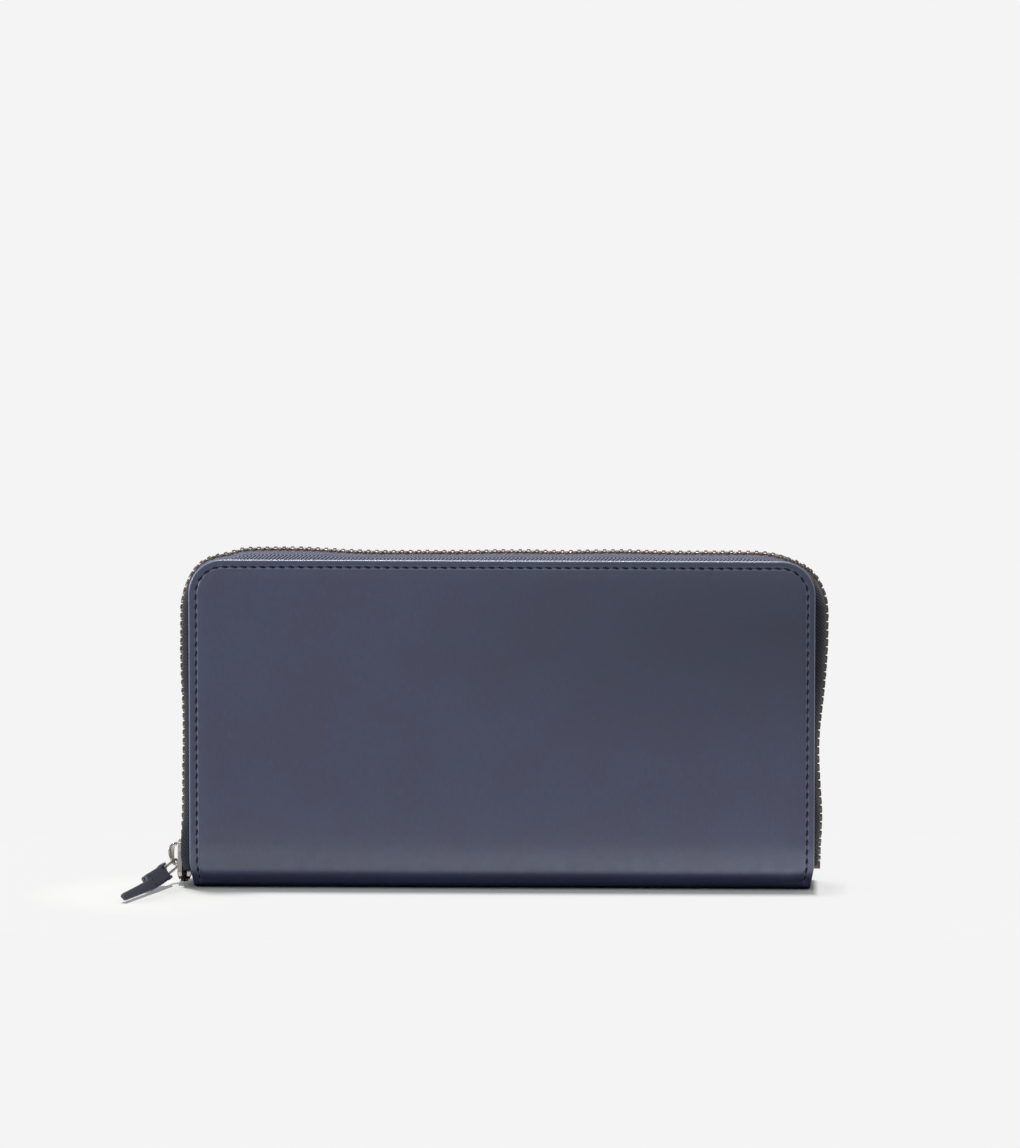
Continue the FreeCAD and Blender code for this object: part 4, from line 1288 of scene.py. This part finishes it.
def build_coin_pocket():
    """The divider: a back cloth, and a front cloth whose deep rim leaves room for coins."""
    wall_low, wall_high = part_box("coin_pocket_front")
    space = wall_high.y - wall_low.y - POCKET_SHEET
    pocket_sheet("divider_cloth", "coin_pocket_back", 1, POCKET_SHEET, LINING,
                 "divider")
    pocket_sheet("coin_wall_cloth", "coin_pocket_front", -1, POCKET_SHEET, LINING,
                 "divider", rim=space)
    tape_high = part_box("coin_upper_tape")[1]
    window, window_top = wall_high.z, tape_high.z
    cap = tape_high.x + 1.0 * MM
    build_coin_frame(window, window_top, cap)
    low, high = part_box("coin_zip_facing")
    edge = high.x - SEW_IN
    beside = 1.2 * MM
    over, side = window_top + beside, cap + beside
    seams = sew([(-edge, high.z - SEW_IN, edge, high.z - SEW_IN), (-cap, over, cap, over),
                 (-cap, window - beside, cap, window - beside),
                 (-side, window + 1 * MM, -side, over), (side, window + 1 * MM, side, over)],
                low.y, -1)
    seam_piece("divider_seams", seams, "divider")


def build_coin_frame(window, window_top, cap):
    """The leather facing round the coin zip's opening."""
    low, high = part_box("coin_zip_facing")
    half = high.x
    outline = [(-half, window), (-cap, window), (-cap, window_top), (cap, window_top),
               (cap, window), (half, window), (half, high.z), (-half, high.z)]
    mesh = prism(*([(x, y, z) for x, z in outline] for y in (low.y, low.y + POCKET_SHEET)))
    layer = mesh.loops.layers.uv.new("flat")
    upright = [e for e in mesh.edges if abs(e.verts[0].co.y - e.verts[1].co.y) > 0.1 * MM]
    bmesh.ops.bevel(mesh, geom=upright, offset=1.5 * MM, segments=4, affect="EDGES")
    rim = [e for e in mesh.edges if e.calc_face_angle(0) > 0.9]
    bmesh.ops.bevel(mesh, geom=rim, offset=0.2 * MM, segments=2, affect="EDGES")
    for face in mesh.faces:
        for loop in face.loops:
            loop[layer].uv = (loop.vert.co.x, loop.vert.co.z)
    data = bpy.data.meshes.new("coin_zip_frame")
    mesh.to_mesh(data)
    mesh.free()
    data.materials.append(POCKET_LEATHER)
    facing = bpy.data.objects.new("coin_zip_frame", data)
    bpy.context.scene.collection.objects.link(facing)
    modifier(facing, "WEIGHTED_NORMAL")
    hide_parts("coin_zip_facing")
    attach(facing, "divider")


# ---- coin pocket zip ----
COIN_PITCH = 2.0 * MM
COIN_TOOTH_ALONG = 0.75 * MM
COIN_TOOTH_BACK = 1.6 * MM
COIN_TOOTH_TIP = 0.3 * MM
COIN_DIVIDER = 0.6 * MM
COIN_CLEAR = 0.15 * MM


def build_coin_zip():
    """Two rows and tapes, held apart by the slider's divider and closing past it."""
    part_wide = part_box("coin_slider")[0].x + 0.4 * MM
    part_start = part_wide + 3.8 * MM + COIN_PITCH
    row_wide = part_wide + 0.8 * MM + COIN_TOOTH_ALONG + COIN_CLEAR
    full = COIN_DIVIDER + COIN_TOOTH_TIP + COIN_CLEAR

    def away(x):
        return full * min(1.0, max(0.0, (part_start - x) / (part_start - row_wide)))

    low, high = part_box("coin_lower_teeth")
    plane = (low.y + high.y) / 2
    build_coin_rows(away, plane, high.y - low.y)
    build_coin_tapes(away, plane)
    keep_shape("coin_slider", NICKEL, 0.12 * MM)
    keep_shape("coin_pull", NICKEL, 0.15 * MM)


def build_coin_rows(away, plane, thick):
    """The main zip's tooth, smaller and turned upright."""
    height = (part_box("coin_lower_teeth")[1].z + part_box("coin_upper_teeth")[0].z) / 2
    points, faces = tooth_template()
    points = [Vector((p.x * COIN_TOOTH_ALONG / TOOTH_ALONG, p.y * COIN_TOOTH_BACK / TOOTH_BACK,
                      p.z * thick / TOOTH_THICK)) for p in points]
    for name, node, side in (("coin_lower_row", "coin_lower_teeth", 1),
                             ("coin_upper_row", "coin_upper_teeth", -1)):
        low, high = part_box(node)
        parts = []
        x = low.x + COIN_TOOTH_ALONG / 2
        while x < high.x:
            placed = [Vector((x + p.x, plane - p.z, height + side * (p.y - away(x))))
                      for p in points]
            parts.append((placed, turned(faces, side)))
            x += COIN_PITCH
        verts, all_faces = join_parts(parts)
        obj = finish_normals(make_mesh(name, verts, all_faces, TEETH_METAL))
        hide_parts(node)
        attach(obj, "divider")


def build_coin_tapes(away, plane):
    ring = [(0.0, 0.7), (0.12, 1.0), (0.5, 0.85), (1.0, 0.85)]
    ring += [(u, -v) for u, v in reversed(ring)]
    for name, node, side in (("coin_lower_tape_cloth", "coin_lower_tape", -1),
                             ("coin_upper_tape_cloth", "coin_upper_tape", 1)):
        low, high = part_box(node)
        inner, outer = (low.z, high.z) if side > 0 else (high.z, low.z)
        verts, flat = [], []
        xs = spread(low.x, high.x, 1.5 * MM)
        for x in xs:
            near = inner + side * away(x)
            for u, v in ring:
                verts.append((x, plane + v * (high.y - low.y) / 2, near + (outer - near) * u))
                flat.append((x, (outer - near) * u))
        obj = finish_normals(make_mesh(name, verts, bar_faces(len(xs), len(ring)), TAPE, flat))
        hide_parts(node)
        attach(obj, "divider")


# ---- folded gussets at both ends ----
GUSSET_FOOT = 4.5 * MM


def gusset_foot(y):
    """How low a gusset reaches: just above the lining where that curves up to the covers."""
    spine_low, spine_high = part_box("spine_lining")
    wall_low, wall_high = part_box("front_lining")
    inside = FOLD - LEATHER
    past = max(0.0, abs(y) - (spine_high.y - inside))
    radius = inside - (wall_high.y - wall_low.y)
    rise = math.sqrt(max(0.0, radius ** 2 - past ** 2))
    return max(GUSSET_FOOT, spine_low.z + inside - rise + 0.5 * MM)


def leaf(name, corners, low, high, thick):
    """A strip of cloth standing along a line of (x, y) corners, softly rounded."""
    line = []
    for a, b in zip(corners, corners[1:]):
        count = max(2, round(math.dist(a, b) / (0.35 * MM)))
        line += [(a[0] + (b[0] - a[0]) * i / count, a[1] + (b[1] - a[1]) * i / count)
                 for i in range(count)]
    line.append(corners[-1])
    for _ in range(2):
        line = [line[0]] + [((a[0] + b[0] + c[0]) / 3, (a[1] + b[1] + c[1]) / 3)
                            for a, b, c in zip(line, line[1:], line[2:])] + [line[-1]]
    hem = 0.12 * MM
    upper = spread(low + 3 * MM, high - 3 * MM, 6 * MM) + [high - hem, high]
    verts, flat = [], []
    run = 0.0
    for i, (x, y) in enumerate(line):
        ax, ay = slope(line, i)
        run += math.dist(line[max(i - 1, 0)], (x, y))
        foot = gusset_foot(y)
        rows = [foot, foot + hem] + upper
        for sign in (1, -1):
            for k, z in enumerate(rows if sign > 0 else reversed(rows)):
                off = sign * thick / 2 * (0.45 if k in (0, len(rows) - 1) else 1.0)
                verts.append((x + ay * off, y - ax * off, z))
                flat.append((run, z))
    faces = bar_faces(len(line), 2 * len(rows))
    obj = finish_normals(make_mesh(name, verts, faces, LINING, flat))
    return obj, (run, high - GUSSET_FOOT)


def build_gussets():
    """At each end: a shallow fold from the front cover to the divider, in two leaves, and a
    deep fold from the divider to the back cover in one."""
    thick = 0.4 * MM
    tab, depth, shallow = 5.0 * MM, 11.0 * MM, 4.1 * MM
    middle_tab = tab + 2.4 * MM
    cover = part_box("front_lining")[1].y
    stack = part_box("card_pocket_4")[1].y + thick
    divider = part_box("coin_pocket_front")[0].y - 0.15 * MM
    back_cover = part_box("back_lining")[0].y
    back_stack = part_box("passport_pocket")[0].y + POCKET_SHEET
    back_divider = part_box("coin_pocket_back")[1].y + 0.15 * MM
    for label, side in (("left", 1), ("right", -1)):
        node = label + "_gusset"
        low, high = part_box(node)
        outer = low.x if side > 0 else high.x

        def at(inward, y):
            return (outer + side * inward, y)

        half = thick / 2
        fold = (stack + divider) / 2
        front, size = leaf(label + "_gusset_front", [
            at(tab, cover + half), at(half, cover + half), at(half, stack - half),
            at(shallow + half, fold - half)], low.z, high.z, thick)
        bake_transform(front)
        middle, size = leaf(label + "_gusset_middle", [
            at(shallow - 0.1 * MM, fold + thick + 0.1 * MM), at(half, divider - 3 * half),
            at(half, divider - half), at(middle_tab, divider - half)], low.z, high.z, thick)
        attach(middle, "divider")
        fold = (back_stack + back_divider) / 2
        back, size = leaf(label + "_gusset_back", [
            at(tab, back_cover - half), at(half, back_cover - half),
            at(half, back_stack + half), at(depth + half, fold + half),
            at(depth + half, fold - half), at(half, back_divider + 3 * half),
            at(half, back_divider + half), at(tab, back_divider + half)],
            low.z, high.z, thick)
        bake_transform(back)
        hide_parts(node)


build_hide()
build_cover_seams()
build_lining()
build_card_pockets()
build_passport_pocket()
build_coin_pocket()
build_coin_zip()
build_gussets()
build_teeth()
build_tapes()
build_slider()
build_link()
build_tab()


# ---- studio: floor, light and camera ----
BACKDROP_COLOUR = srgb(244, 244, 244)
FLOOR_SIZE = 12.0
FLOOR_COLOUR = srgb(228, 227, 225)
# Painted light the camera never sees: FLOOR_FAR_COLOUR and FLOOR_NEAR_COLOUR are painted shade,
# SHEEN_COLOUR a painted glow.
FLOOR_FAR_COLOUR = srgb(128, 129, 136)
FLOOR_NEAR_COLOUR = srgb(20, 20, 24)
SHEEN_COLOUR = srgb(218, 228, 250)
# Ranges on the floor in metres, and the values at their two ends. They count from the holder's
# outline, except SHEEN_ACROSS and SHADOW_RIGHT along X and STRAP_SHADOW from the strap.
FLOOR_DIM = (0.015, 0.13, 0.0, 1.0)
FLOOR_NEAR = (0.002, 0.012, 1.0, 0.0)
SHEEN_START = (0.004, 0.012, 0.0, 1.0)
SHEEN_END = (0.014, 0.045, 1.0, 0.0)
SHEEN_ACROSS = (-HALF_W, HALF_W, 0.25, 1.2)
SHADOW_FADE = (0.0035, 0.011, 0.0, 0.94)
SHADOW_RIGHT = (HALF_W - 0.5 * MM, HALF_W + 1.5 * MM, 0.0, 0.8)
STRAP_SHADOW = (0.022, 0.04, 0.0, 1.0)
BACKDROP_START = (0.045, 0.10, 0.0, 1.0)
WORLD_LEVEL = 0.42
# Lamps: name, direction, strength, size in degrees, colour.
LAMPS = [
    ("key", (0.06, -0.09, -1.0), 2.25, 7, (1.0, 1.0, 1.0)),
    ("side", (1.0, 0.08, -0.22), 2.2, 40, (0.88, 0.96, 1.0)),
]
CAMERA_AZIMUTH = math.radians(1.5)
CAMERA_ELEVATION = math.radians(7.5)
CAMERA_DISTANCE = 2.8
CAMERA_SEEN = 0.3657
CAMERA_TARGET = Vector((0.0027, -0.012, 0.1022))
SENSOR = 36.0                    # mm


def floor_distance(g, x, y):
    """Distance on the floor from the closed holder's outline."""
    beside = g.math("MAXIMUM", g.minus(g.math("ABSOLUTE", x), HALF_W), 0.0)
    before = g.math("MAXIMUM", g.minus(g.math("ABSOLUTE", y), HALF_T), 0.0)
    return g.length(beside, before)


def backdrop_share(g, x, y, distance):
    """How much of the even backdrop the camera sees instead of the lit floor: little beside
    the holder and under its strap, where the shadows are, and all of it farther away."""
    low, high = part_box("pull_tab")
    middle = (low + high) / 2
    near = g.math("MAXIMUM", g.range(distance, *SHADOW_FADE), g.range(x, *SHADOW_RIGHT))
    away = g.length(g.minus(x, middle.x), g.minus(y, middle.y))
    near = g.times(near, g.range(away, *STRAP_SHADOW))
    return g.math("MAXIMUM", near, g.range(distance, *BACKDROP_START))


def floor_material():
    """A white floor that the camera sees only in the shadows. In reflections it is dimmer far away
    (painted shade) and has a painted glow near the holder; to all but the camera it is painted
    dark at the holder's foot (painted shade)."""
    g = Graph("studio_floor")
    nodes, links = g.tree.nodes, g.tree.links
    rays = nodes.new("ShaderNodeLightPath").outputs
    x, y = (g.surface("Position", axis) for axis in range(2))
    distance = floor_distance(g, x, y)
    # painted shade in reflections: the floor far away is dimmer
    dim = g.times(g.range(distance, *FLOOR_DIM), rays["Is Glossy Ray"])
    shade = g.mix(dim, FLOOR_COLOUR, FLOOR_FAR_COLOUR)
    unseen = g.minus(1.0, rays["Is Camera Ray"])
    # painted shade: the floor at the holder's foot is dark to every ray but the camera's
    shade = g.mix(g.times(g.range(distance, *FLOOR_NEAR), unseen), shade, FLOOR_NEAR_COLOUR)
    # painted glow near the holder, seen only in reflections
    sheen = g.times(g.range(distance, *SHEEN_START), g.range(distance, *SHEEN_END))
    sheen = g.times(sheen, g.range(x, *SHEEN_ACROSS))
    g.finish(Base_Color=shade, Roughness=0.9, Specular_IOR_Level=0.0,
             Emission_Color=SHEEN_COLOUR,
             Emission_Strength=g.times(sheen, rays["Is Glossy Ray"]))
    backdrop = nodes.new("ShaderNodeEmission")
    backdrop.inputs["Color"].default_value = BACKDROP_COLOUR
    mix = nodes.new("ShaderNodeMixShader")
    share = backdrop_share(g, x, y, distance)
    links.new(g.times(share, rays["Is Camera Ray"]), mix.inputs[0])
    links.new(g.shader.outputs[0], mix.inputs[1])
    links.new(backdrop.outputs[0], mix.inputs[2])
    links.new(mix.outputs[0], g.out.inputs["Surface"])
    return g.mat


def build_floor():
    steps = 48
    turns = [2 * math.pi * i / steps for i in range(steps)]
    verts = [(0.0, 0.0, 0.0)]
    verts += [(FLOOR_SIZE * math.cos(a), FLOOR_SIZE * math.sin(a), 0.0) for a in turns]
    faces = [(0, i + 1, (i + 1) % steps + 1) for i in range(steps)]
    floor = make_mesh("floor", verts, faces, floor_material(), rounded=False)


def build_world():
    """Even light, behind a backdrop of its own colour for the camera."""
    world = bpy.data.worlds.new("studio")
    bpy.context.scene.world = world
    world.use_nodes = True
    nodes, links = world.node_tree.nodes, world.node_tree.links
    nodes.clear()
    mix = nodes.new("ShaderNodeMixShader")
    links.new(nodes.new("ShaderNodeLightPath").outputs["Is Camera Ray"], mix.inputs[0])
    for slot, colour, strength in ((1, (1.0, 1.0, 1.0, 1.0), WORLD_LEVEL),
                                   (2, BACKDROP_COLOUR, 1.0)):
        background = nodes.new("ShaderNodeBackground")
        background.inputs["Color"].default_value = colour
        background.inputs["Strength"].default_value = strength
        links.new(background.outputs[0], mix.inputs[slot])
    links.new(mix.outputs[0], nodes.new("ShaderNodeOutputWorld").inputs["Surface"])


def build_lamps():
    for name, aim, strength, angle, colour in LAMPS:
        data = bpy.data.lights.new(name, "SUN")
        data.energy = strength
        data.color = colour
        data.angle = math.radians(angle)
        lamp = bpy.data.objects.new(name, data)
        lamp.rotation_mode = "QUATERNION"
        lamp.rotation_quaternion = Vector(aim).to_track_quat("-Z", "Y")
        bpy.context.scene.collection.objects.link(lamp)


def build_camera():
    """A long lens in front, a little to the right and above, that takes in CAMERA_SEEN metres."""
    data = bpy.data.cameras.new("camera")
    camera = bpy.data.objects.new("camera", data)
    level = math.cos(CAMERA_ELEVATION)
    back = Vector((math.sin(CAMERA_AZIMUTH) * level, -math.cos(CAMERA_AZIMUTH) * level,
                   math.sin(CAMERA_ELEVATION)))
    data.sensor_width = SENSOR
    data.lens = SENSOR * CAMERA_DISTANCE / CAMERA_SEEN
    camera.location = CAMERA_TARGET + back * CAMERA_DISTANCE
    camera.rotation_mode = "QUATERNION"
    camera.rotation_quaternion = (-back).to_track_quat("-Z", "Y")
    bpy.context.scene.collection.objects.link(camera)
    bpy.context.scene.camera = camera


build_floor()
build_world()
build_lamps()
build_camera()
bpy.context.scene.view_settings.view_transform = "Standard"
